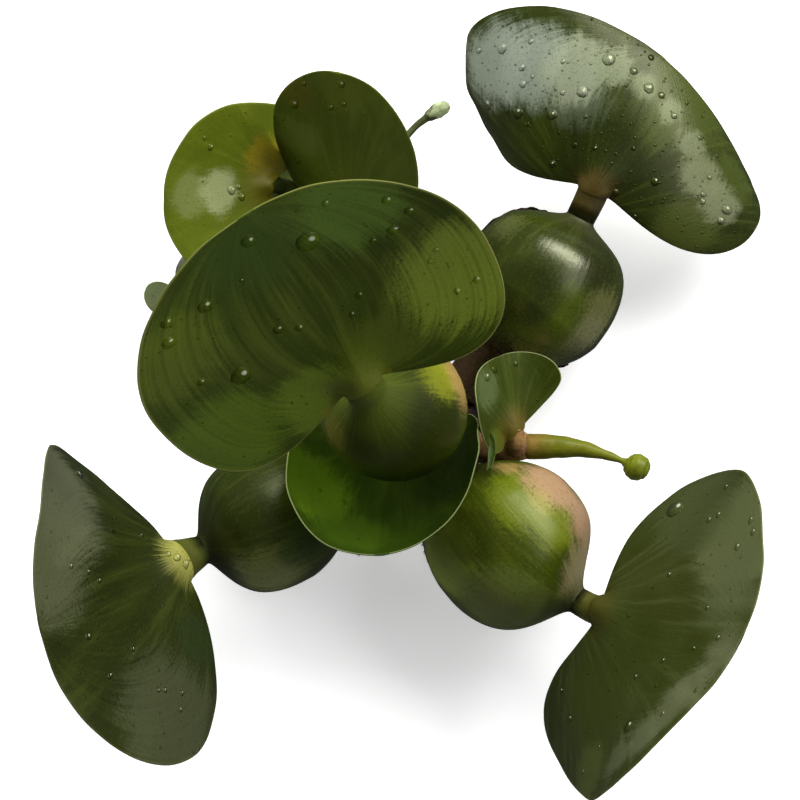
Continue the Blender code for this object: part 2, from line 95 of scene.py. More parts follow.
class Finish:  # one material and the nodes it is made of
    def __init__(self, name, **constants):
        self.material = bpy.data.materials.new(name)
        self.material.use_nodes = True
        self.tree = self.material.node_tree
        self.shader = self.tree.nodes["Principled BSDF"]
        for key, value in constants.items():
            self.shader.inputs[key.replace("_", " ")].default_value = value

    def node(self, kind, settings, inputs, out=0):
        made = self.tree.nodes.new(kind)
        for key, value in settings.items():
            setattr(made, key, value)
        pairs = inputs.items() if isinstance(inputs, dict) else enumerate(inputs)
        for key, value in pairs:
            if isinstance(value, Wire):
                self.tree.links.new(value.socket, made.inputs[key])
            else:
                made.inputs[key].default_value = value
        return Wire(self, made.outputs[out])

    def blend(self, amount, a, b):  # colour a, turning into b
        a, b = (tone(*c) if isinstance(c, tuple) else c for c in (a, b))
        return self.node("ShaderNodeMix", {"data_type": "RGBA"}, {0: amount, 6: a, 7: b}, 2)

    def vectors(self, operation, a, b, out=0):
        return self.node("ShaderNodeVectorMath", {"operation": operation}, (a, b), out)

    def ease(self, value, start, end, low=0.0, high=1.0):
        settings = {"interpolation_type": "SMOOTHSTEP", "clamp": True}
        return self.node("ShaderNodeMapRange", settings, (value, start, end, low, high))

    def cloud(self, coords, scale, detail=2.0, rough=0.5):
        inputs = {"Vector": coords, "Scale": scale, "Detail": detail, "Roughness": rough}
        return self.node("ShaderNodeTexNoise", {}, inputs)

    def stretched(self, coords, x, y, z=1.0):
        return self.vectors("MULTIPLY", coords, (x, y, z))

    def part(self, coords, k):  # one of the three numbers of a place
        return self.node("ShaderNodeSeparateXYZ", {}, (coords,), k)

    def layer(self, name):  # a UV map
        return self.node("ShaderNodeUVMap", {"uv_map": name}, ())

    def painted(self, name):  # a number kept on the mesh
        return self.node("ShaderNodeAttribute", {"attribute_name": name}, (), 2)

    def place(self):  # where a point is in the plant, in millimetres
        return self.stretched(self.node("ShaderNodeTexCoord", {}, (), 3), 1000, 1000, 1000)

    def ragged(self, coords, scale, reach):  # the same place, pushed about for an uneven border
        inputs = {"Vector": coords, "Scale": scale, "Detail": 3.0}
        push = self.node("ShaderNodeTexNoise", {}, inputs, 1)
        push = self.stretched(self.vectors("SUBTRACT", push, (0.5, 0.5, 0.5)), reach, reach, reach)
        return self.vectors("ADD", coords, push)

    def patch(self, coords, centre, radius, soft):  # 1 near the centre, 0 beyond radius + soft
        return self.ease(self.vectors("DISTANCE", coords, centre, 1), radius, radius + soft, 1.0, 0.0)

    def patched(self, colour, coords, patches, shade):  # zones of another tone, broken up at the edge; some are colour, some painted sheen, highlight or shade
        for *centre, radius, soft, zoneTone, strength in patches:
            zone = self.patch(coords, (*centre, 0)[:3], radius, soft)
            edge = zone * (1 - zone) * 2.6
            colour = self.blend(self.ease(zone + shade * edge, 0.03, 0.97) * strength, colour, zoneTone)
        return colour

    def twoTone(self, colour, value, high, low, amount, look):  # light at high values, deep at low
        colour = self.blend(self.ease(value, 0.5, high) * amount, colour, look["light"])
        return self.blend(self.ease(value, 0.5, low) * amount, colour, look["deep"])

    def speckled(self, colour, grain, look):
        colour = self.blend(self.ease(grain, 0.52, 0.75) * 0.28, colour, look["light"])
        return self.blend(self.ease(grain, 0.48, 0.3) * 0.4, colour, look["deep"])

    def dome(self, away, radius):  # height of a round drop, from the distance to its middle
        share = away / radius
        inside = 1 - share * share
        return inside.sum("SQRT", inside.sum("MAXIMUM", inside, 0.0)) * radius

    def beads(self, coords, cell, largest, share, seed):  # scattered small drops
        shifted = self.vectors("ADD", coords, (seed * 13.7, seed * 5.1, 0))
        inputs = {"Vector": shifted, "Scale": 1 / cell, "Randomness": 0.9}
        settings = {"voronoi_dimensions": "2D"}
        away = self.node("ShaderNodeTexVoronoi", settings, inputs) * cell
        cellTone = self.node("ShaderNodeTexVoronoi", settings, inputs, 1)
        chance = self.node("ShaderNodeSeparateColor", {}, (cellTone,))
        return self.dome(away, self.ease(chance, 1 - share, 1.0, 0.001, largest))

    def show(self, colour, roughness=None, height=None):
        links = {"Base Color": colour, "Roughness": roughness}
        if height is not None:
            bump = {"Strength": 1.0, "Distance": mm, "Height": height}
            links["Normal"] = self.node("ShaderNodeBump", {}, bump)
        for key, value in links.items():
            if value is not None:
                self.tree.links.new(value.socket, self.shader.inputs[key])
        return self.material


waxy = dict(IOR=1.45, Specular_Tint=tone(1000, 1000, 700))  # the gloss of leaves and stalks


# Mesh building

def addPiece(name, points, faces, material, nodes, maps, numbers={}):
    mesh = bpy.data.meshes.new(name)
    mesh.from_pydata([tuple(p) for p in np.asarray(points) * mm], [], faces)
    ends = np.empty(len(mesh.loops), dtype=np.int32)
    mesh.loops.foreach_get("vertex_index", ends)
    for key, values in maps.items():
        uv = mesh.uv_layers.new(name=key)
        uv.data.foreach_set("uv", np.asarray(values, dtype=np.float32)[ends].ravel())
    for key, values in numbers.items():
        kept = mesh.attributes.new(key, "FLOAT", "POINT")
        kept.data.foreach_set("value", np.asarray(values, dtype=np.float32))
    mesh.shade_smooth()
    mesh.materials.append(material)
    piece = bpy.data.objects.new(name, mesh)
    bpy.context.scene.collection.objects.link(piece)
    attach(piece, "root")
    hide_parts(*nodes)
    return piece


def ringFaces(rows, around, start=0):  # quads round a closed tube, with both ends closed
    faces = []
    for i in range(rows - 1):
        a, b = start + i * around, start + (i + 1) * around
        for j in range(around):
            k = (j + 1) % around
            faces.append((a + j, a + k, b + k, b + j))
    faces.append(tuple(range(start + around - 1, start - 1, -1)))
    faces.append(tuple(range(start + (rows - 1) * around, start + rows * around)))
    return faces


def arc(a, b, slopeA, slopeB, t):
    t2, t3 = t * t, t * t * t
    return (a * (2 * t3 - 3 * t2 + 1) + slopeA * (t3 - 2 * t2 + t)
            + b * (3 * t2 - 2 * t3) + slopeB * (t3 - t2))


def lengthsAlong(line):
    steps = [0.0]
    for a, b in zip(line, line[1:]):
        steps.append(steps[-1] + (b - a).length)
    return steps


def pointAt(line, steps, distance):
    i = min(max(int(np.searchsorted(steps, distance)) - 1, 0), len(line) - 2)
    return line[i].lerp(line[i + 1], (distance - steps[i]) / max(1e-9, steps[i + 1] - steps[i]))


def carriedUps(line, lastUp):  # an upward side for each point, carried back from the end without twist
    ways = [(b - a).normalized() for a, b in zip(line, line[1:])]
    ways.append(ways[-1])
    up = (lastUp - ways[-1] * lastUp.dot(ways[-1])).normalized()
    ups = [up]
    for i in range(len(line) - 2, -1, -1):
        up = ways[i + 1].rotation_difference(ways[i]) @ up
        up = (up - ways[i] * up.dot(ways[i])).normalized()
        ups.append(up)
    return ways, ups[::-1]


def smoothRoute(route, each=8):  # a soft curve through points that each have a radius
    points = [Vector(p) for p, r in route]
    radii = [r for p, r in route]
    line, widths = [], []
    for i in range(len(points) - 1):
        before, after = points[max(i - 1, 0)], points[min(i + 2, len(points) - 1)]
        slopeA, slopeB = (points[i + 1] - before) / 2, (after - points[i]) / 2
        for k in range(each):
            t = k / each
            line.append(arc(points[i], points[i + 1], slopeA, slopeB, t))
            widths.append(mix(radii[i], radii[i + 1], t * t * (3 - 2 * t)))
    return line + [points[-1]], widths + [radii[-1]]


# Leaves

crowns = {
    "main": dict(centre=Vector((0, 0, 11.5)), half=(8.5, 8, 5.5)),
    "daughter": dict(centre=Vector((-30, 28, 8)), half=(5.5, 5.5, 4.3)),
}
sunk = 0.8  # how deep a foot starts inside its crown


def crownExit(leaf):  # where the leaf leaves its crown, and the way it grows out
    crown, out = crowns[leaf["crown"]], unit(*leaf["leavesAt"])
    spot = out / math.sqrt(sum((c / h) ** 2 for c, h in zip(out, crown["half"])))
    normal = Vector([c / h ** 2 for c, h in zip(spot, crown["half"])]).normalized()
    return crown["centre"] + spot - normal * sunk, normal


def bladeTurn(blade):
    return (Matrix.Rotation(math.radians(blade["heading"] - 90), 3, "Z")
            @ Matrix.Rotation(math.radians(blade["rise"]), 3, "X")
            @ Matrix.Rotation(math.radians(blade["roll"]), 3, "Y"))


def outlinePoint(blade, side, v):
    half, wide, lobe, shoulder = (blade[key][side] for key in ("half", "widest", "lobe", "shoulder"))
    length, inner = blade["length"], blade.get("inner", (0, 0))[side]
    if v < 0.5:
        t, bends = v * 2, ((blade["base"], 0), (half * 0.2, inner), (half, -lobe), (half, wide))
    else:
        t = v * 2 - 1
        bends = ((half, wide), (half, mix(wide, length, shoulder)), (half * 0.55, length), (0, length))
    weights = ((1 - t) ** 3, 3 * (1 - t) ** 2 * t, 3 * (1 - t) * t * t, t ** 3)
    return sum(w * p[0] for w, p in zip(weights, bends)), sum(w * p[1] for w, p in zip(weights, bends))


def shapedPoint(blade, x, y):  # the flat blade cupped across, twisted, then bent along its length
    share = y / blade["length"]
    cup = (blade["cup"] + blade["cupChange"] * share) * mm
    cup = cup if abs(cup) > 1e-5 else 1e-5
    x, z = math.sin(cup * x) / cup, (1 - math.cos(cup * x)) / cup
    twist = math.radians(blade["twist"]) * share
    x, z = x * math.cos(twist) - z * math.sin(twist), x * math.sin(twist) + z * math.cos(twist)
    bend = blade["bend"] * mm
    bend = bend if abs(bend) > 1e-5 else 1e-5
    angle = bend * y
    return Vector((x, math.sin(angle) / bend - z * math.sin(angle),
                   (1 - math.cos(angle)) / bend + z * math.cos(angle)))


sheet = dict(
    across=44, along=100, thick=0.95, rim=0.34, rimGrows=4, wave=0.4, waveSize=17, frill=0.4, frillSize=9,
    pleat=0.03, pleats=55, keel=0.8, keelWide=1.6, keelLong=0.4, humpLong=2.1, ridgeLong=3, bunched=1.25,
    noseOut=0.45, tipOpen=0.06, smallBelow=36)
smallSheet = dict(sheet, across=30, along=64)  # fewer points on small blades


def bladeNormal(blade, x, y, step=0.2):
    across = shapedPoint(blade, x + step, y) - shapedPoint(blade, x - step, y)
    return across.cross(shapedPoint(blade, x, y + step) - shapedPoint(blade, x, y - step)).normalized()


def unevenness(u, x, y, grown, soft, seed):  # waves, a frilled border and fine pleats
    wave = sheet["wave"] * rough3(x / sheet["waveSize"], y / sheet["waveSize"], seed)
    frill = rough3(x / sheet["frillSize"], y / sheet["frillSize"], seed + 9)
    frill = sheet["frill"] * (1 - grown) ** 2 * frill
    pleat = sheet["pleat"] * math.sin(u * sheet["pleats"]) * grown
    return (wave + frill) * soft + pleat * soft


def bladeDepths(blade, neck, x, y, half):  # thickness above and below, swollen where the float runs in
    aside = abs(x) / (blade["base"] + 0.6 * max(0.0, y))
    dome, bell = math.sqrt(max(0.0, 1 - aside * aside)), math.exp(-2.2 * aside * aside)
    swollen = (neck - half) * mix(dome, bell, fade(y, 0, neck))
    hump = swollen * math.exp(-(y / (sheet["humpLong"] * neck)) ** 2)
    ridge = swollen * math.exp(-(y / (sheet["ridgeLong"] * neck)) ** 2)
    away = (x / sheet["keelWide"]) ** 2 + (y / (sheet["keelLong"] * blade["length"])) ** 2
    keel = sheet["keel"] * math.exp(-away) * fade(y, 0, 8)
    return half + hump, half + ridge + keel


def addBlade(name, leaf, seed):
    blade, neck = leaf["blade"], leaf["neck"]
    size = smallSheet if blade["length"] < sheet["smallBelow"] else sheet
    across, along = size["across"], size["along"]
    thick = sheet["thick"] * min(1.0, 0.45 + blade["length"] / 80)
    turn, top = bladeTurn(blade), Vector(leaf["top"])
    shares = [math.sin(math.pi / 2 * (2 * j / (across - 1) - 1)) for j in range(across)]
    points, vein, skin, rim, under = [], [], [], [], []
    for i in range(along + 1):
        v = (i / along) ** sheet["bunched"]
        sides = [outlinePoint(blade, side, v) for side in (0, 1)]
        upper, lower = [], []
        for u in shares:
            edgeX, edgeY = sides[0 if u >= 0 else 1]
            edgeX += sheet["tipOpen"] * blade["half"][0] * max(0.0, v * 4 - 3) ** 2
            x, y = u * edgeX, mix(blade["length"] * v, edgeY, abs(u))
            inside = (1 - abs(u)) * math.hypot(edgeX, edgeY - blade["length"] * v)
            grown = 1 - math.exp(-inside / sheet["rimGrows"])
            soft = fade(math.hypot(x, y), neck, neck + 8)
            normal = bladeNormal(blade, x, y)
            spot = shapedPoint(blade, x, y) + normal * unevenness(u, x, y, grown, soft, seed)
            above, below = bladeDepths(blade, neck, x, y, mix(sheet["rim"], thick, grown) / 2)
            upper.append((spot + normal * above, u, x, y, inside, 0.0))
            lower.append((spot - normal * below, u, x, y, inside, 1.0))
        noses = []
        for k, inner in ((0, 1), (-1, -2)):
            a, b = upper[k], lower[k]
            outward = a[0] - upper[inner][0]
            outward = outward.normalized() if outward.length > 1e-6 else Vector((0, 0, 0))
            nose = (a[0] + b[0]) / 2 + outward * sheet["rim"] * sheet["noseOut"]
            noses.append((nose, a[1], a[2], a[3], 0.0, 0.5))
        for spot, u, x, y, inside, isUnder in [noses[0]] + upper + [noses[1]] + lower[::-1]:
            points.append(top + turn @ spot)
            vein.append((u * 0.5 + 0.5, v))
            skin.append((x / 100 + 0.5, y / 100 + 0.5))
            rim.append(inside)
            under.append(isUnder)
    faces, finish = ringFaces(along + 1, across * 2 + 2), bladeFinish(name, leaf, seed)
    return addPiece(name, points, faces, finish, [leaf["node"] + "_blade"],
                    {"vein": vein, "skin": skin}, {"rim": rim, "under": under})


glintsFace = 142  # heading of the side of a drop that gets the painted glint


def bladeDrops(f, leaf, skin, local, blotches, seed):  # height of the drops, and where their painted glints go
    look = leaf["look"]
    beads = f.beads(skin, 7.0, 1.0, look["drops"] * 0.5, seed)
    beads = beads + f.beads(skin, 2.6, 0.4, look["drops"], seed + 3)
    beads = beads * f.ease(blotches, look["dropsFrom"], look["dropsFrom"] + 0.1)
    wobble = f.ragged(local, 0.9, 0.7)
    paintedGlints, lit = 0.0, unit(glintsFace - leaf["blade"]["heading"], 0) * 0.4
    for x, y, radius in look["bigDrops"]:
        beads = beads + f.dome(f.vectors("DISTANCE", wobble, (x, y, 0), 1), radius)
        spot = (x + lit.x * radius, y + lit.y * radius, 0)
        paintedGlints = f.patch(wobble, spot, radius * 0.12, radius * 0.22) + paintedGlints
    return beads, paintedGlints


def bladeFinish(name, leaf, seed):
    look = leaf["look"]
    f = Finish(name + "Skin", Specular_IOR_Level=look["sheen"], **waxy)
    vein, skin = f.layer("vein"), f.stretched(f.layer("skin"), 100, 100)
    rim, under = f.painted("rim"), f.painted("under")
    local = f.vectors("SUBTRACT", skin, (50, 50, 0))
    fromNeck = f.vectors("LENGTH", local, (0, 0, 0), 1)
    spread = f.ease(fromNeck, 2, 34)
    x, y = f.part(local, 0), f.part(local, 1)
    heading = x.sum("ARCTAN2", x, y + leaf["blade"]["length"] * 0.15)
    rayPlace = f.node("ShaderNodeCombineXYZ", {}, (heading * look["rays"], fromNeck * 0.03, seed))
    rays = f.cloud(rayPlace, 1.0, 3, 0.65)
    streaks = f.cloud(f.stretched(vein, 90, 2.2), 1.0, 3, 0.6)
    bands = f.cloud(f.stretched(vein, 15, 1.6), 1.0)
    blotches = f.cloud(f.vectors("ADD", skin, (seed * 31, 0, 0)), 0.06, 3, 0.55)
    grain = f.cloud(skin, 1.5, 3, 0.6)
    colour = f.blend(f.ease(blotches, 0.25, 0.75), look["deep"], look["leaf"])
    colour = f.blend(f.ease(bands, 0.45, 0.7) * look["banding"], colour, look["light"])
    colour = f.twoTone(colour, streaks, 0.75, 0.28, spread * look["streaks"], look)
    colour = f.twoTone(colour, rays, 0.7, 0.3, look["rayShows"], look)
    shade = (rays - 0.5) * 1.6 + (streaks - 0.5) * 1.6 + (grain - 0.5) * 1.2
    colour = f.patched(colour, f.ragged(local, 0.16, 5), look["patches"], shade)
    veins = f.ease(streaks, 0.55, 0.3) * look["streaks"] * spread * look["veins"]
    colour = f.blend(veins, colour, look["deep"])
    reach = fromNeck + (streaks - 0.5) * look["neckReach"]
    fan = f.ease(reach, leaf["neck"] * 0.8, look["neckReach"], 1.0, 0.0)
    colour = f.blend(fan * look["neckShows"], colour, look["neckTone"])
    colour = f.speckled(colour, grain, look)
    border = f.ease(rim, look["rimWide"] * 0.3, look["rimWide"], 1.0, 0.0)
    colour = f.blend(border * look["rimShows"], colour, look["rimTone"])
    colour = f.blend(under * 0.9, colour, f.blend(streaks, look["underTone"], look["light"]))
    beads, paintedGlints = bladeDrops(f, leaf, skin, local, blotches, seed)
    beads = beads * (1 - under)
    # Painted shade: a dark ring round the edge of each drop.
    edge = f.ease(beads, 0.0, 0.12) * f.ease(beads, 0.15, 0.6, 1.0, 0.0)
    colour = f.blend(edge * 0.45, colour, look["deep"])
    # A painted glint on each big drop.
    if look["bigDrops"]:
        colour = f.blend(paintedGlints * (1 - under) * 0.8, colour, paintedGlintTone)
    ribs = f.cloud(f.stretched(vein, 130, 1.2), 1.0, 1, 0.5)
    height = beads * 0.6 + (ribs * 0.05 + streaks * 0.03) * spread + rays * 0.05 + grain * look["grain"]
    rough = f.ease(beads, 0.0, 0.08, look["roughness"], 0.08) + f.ease(grain, 0.3, 0.8, -0.04, 0.06)
    return f.show(colour, rough, height)


bulb = dict(
    around=72, along=96, heelRows=10, tipRows=14, tipLong=3, past=1.2, lump=0.3, lumpSize=16, ribs=46,
    ribDepth=0.03, footBlend=2.2)


def floatLine(leaf, steps=80):
    foot, out = crownExit(leaf)
    belly, top = Vector(leaf["belly"]), Vector(leaf["top"])
    end = unit(leaf["blade"]["heading"], leaf["blade"]["rise"])
    through = (top - foot).normalized()
    near, far = (belly - foot).length, (top - belly).length
    line = [arc(foot, belly, out * near * 0.8, through * near, i / steps) for i in range(steps)]
    line += [arc(belly, top, through * far, end * far * 0.8, i / steps) for i in range(steps + 1)]
    return line, steps, end


def bulbRadius(leaf, offset):
    if offset > 0:
        t = min(1.0, offset / (leaf["front"] * leaf["stretch"]))
        share = (1 - t * t) ** (0.5 + leaf["flare"] * t ** leaf["round"])
        return mix(leaf["neck"], leaf["radius"], share)
    t, power = min(1.0, -offset / leaf["back"]), bulb["footBlend"]
    swollen = leaf["radius"] * (1 - t * t) ** 0.5
    return min(leaf["radius"], (leaf["foot"] ** power + swollen ** power) ** (1 / power))


def addFloat(name, leaf, seed):
    line, middle, end = floatLine(leaf)
    steps = lengthsAlong(line)
    back, front = steps[middle], steps[-1] - steps[middle]
    inner, outer, past = leaf["back"], leaf["front"] * leaf["stretch"], bulb["past"]
    heelRows, tipRows, tipFrom = bulb["heelRows"], bulb["tipRows"], front - bulb["tipLong"]
    offsets = [mix(-back, -inner, k / heelRows) for k in range(heelRows)] if back > inner else []
    low = -90.0 if back > inner else -math.degrees(math.asin(back / inner))
    angles = [math.radians(a) for a in np.linspace(low, 90, bulb["along"])]
    offsets += [(inner if a < 0 else outer) * math.sin(a) for a in angles]
    offsets = [o for o in offsets if o < tipFrom]
    offsets += [mix(tipFrom, front + past, k / tipRows) for k in range(tipRows + 1)]
    centres = [pointAt(line, steps, min(o + back, steps[-1])) + end * max(0.0, o - front) for o in offsets]
    ways, ups = carriedUps(centres, bladeTurn(leaf["blade"]) @ Vector((0, 0, 1)))
    points, skin, along = [], [], []
    around, flare = bulb["around"], leaf["blade"]["base"] / leaf["neck"]
    for o, centre, way, up in zip(offsets, centres, ways, ups):
        radius = bulbRadius(leaf, o)
        side = up.cross(way).normalized()
        ending = fade(o, front - 2.4 * leaf["neck"], front) ** 1.5
        tuck = 1 - 0.02 * ending - 0.2 * max(0.0, o - front) / past
        swell = fade(radius, leaf["neck"], leaf["radius"])
        for j, a in enumerate(circle(around)):
            wide, high = math.cos(a) * mix(1.0, flare, ending) * tuck, math.sin(a) * tuck
            out = side * wide + up * high
            place = centre + out * radius
            lump = rough3(*(place / bulb["lumpSize"] + Vector((seed, 0, 0)))) * bulb["lump"] * swell
            weave = a * bulb["ribs"] + 4 * rough3(a * 2, o / 20, seed)
            rib = math.sin(weave) * bulb["ribDepth"] * (0.3 + 0.7 * swell)
            spot = place + out * (lump + rib)
            spot.z = max(spot.z, 0.05)
            points.append(spot)
            skin.append((j / around, (o + back) / 100))
            along.append(o)
    faces, finish = ringFaces(len(centres), around), floatFinish(name, leaf, seed, front)
    return addPiece(name, points, faces, finish, [leaf["node"] + "_float"],
                    {"skin": skin}, {"along": along})


def floatFinish(name, leaf, seed, front):
    look = leaf["bulbLook"]
    f = Finish(name + "Skin", Specular_IOR_Level=look["sheen"], **waxy)
    place, skin, along = f.place(), f.layer("skin"), f.painted("along")
    fibres = f.cloud(f.stretched(skin, 90, 6), 1.0, 3, 0.6)
    bands = f.cloud(f.stretched(skin, 12, 2.5), 1.0)
    mottle = f.cloud(f.vectors("ADD", place, (seed * 17, 0, 0)), 0.09, 3, 0.55)
    grain = f.cloud(place, 1.5, 3, 0.6)
    colour = f.blend(f.ease(mottle, 0.25, 0.75), look["deep"], look["skin"])
    colour = f.blend(f.ease(bands, 0.45, 0.75) * 0.3, colour, look["light"])
    colour = f.twoTone(colour, fibres, 0.72, 0.3, look["fibres"], look)
    shade = (fibres - 0.5) * 1.8 + (grain - 0.5) * 1.2
    colour = f.patched(colour, f.ragged(place, 0.12, 4), look["patches"], shade)
    reach, neckFrom = along + (fibres - 0.5) * 5, front - look["collar"]
    # Darker cone where the neck runs into the float: the neck's dark colour, with painted shade.
    collar = f.ease(reach, neckFrom - 4, neckFrom)
    colour = f.blend(collar * look["coneShows"], colour, look["coneTone"])
    tip = f.ease(reach, neckFrom, front - look["collar"] * 0.4)
    colour = f.blend(tip * 0.95, colour, look["neckTone"])
    heel = f.ease(along, -leaf["back"] * 0.75, -leaf["back"] * 1.05)
    colour = f.blend(heel * 0.9, colour, look["footTone"])
    colour = f.speckled(colour, grain, look)
    height = fibres * 0.09 + grain * look["grain"] + mottle * 0.05
    rough = f.ease(grain, 0.25, 0.8, look["roughness"] - 0.05, look["roughness"] + 0.08) + collar * 0.3
    return f.show(colour, rough, height)


# Patches are given as the middle, the radius and the width of the soft edge in millimetres, the tone
# and the strength. Big drops are given as the middle and the radius. On a blade a middle is counted
# from its neck, across and along. On a float it is a place in the plant, with its height.
# The first tone is the pale rim's colour, the second a painted sheen, the third the painted glint on big
# drops.
paleRim, paintedSheenTone, paintedGlintTone = (220, 220, 50), (290, 330, 260), (600, 640, 450)
darkLook = dict(
    deep=(13, 19, 2), leaf=(24, 34, 3), light=(50, 68, 8), roughness=0.42, sheen=0.35, banding=0.15,
    streaks=0.2, veins=0.6, rays=9, rayShows=0.4, patches=[], neckTone=(60, 40, 10), neckReach=8,
    neckShows=0.85, rimTone=paleRim, rimShows=0.2, rimWide=0.55, underTone=(50, 80, 20), drops=0.3,
    dropsFrom=0.45, bigDrops=[], grain=0.02)
# The cone tone is the neck's dark colour with painted shade where it runs into the float.
darkBulb = dict(
    deep=(20, 28, 2), skin=(34, 47, 3), light=(70, 90, 10), roughness=0.36, sheen=0.4, patches=[],
    fibres=0.35, grain=0.035, neckTone=(40, 35, 6), coneTone=(12, 15, 3), coneShows=0.6, collar=8,
    footTone=(30, 12, 8))

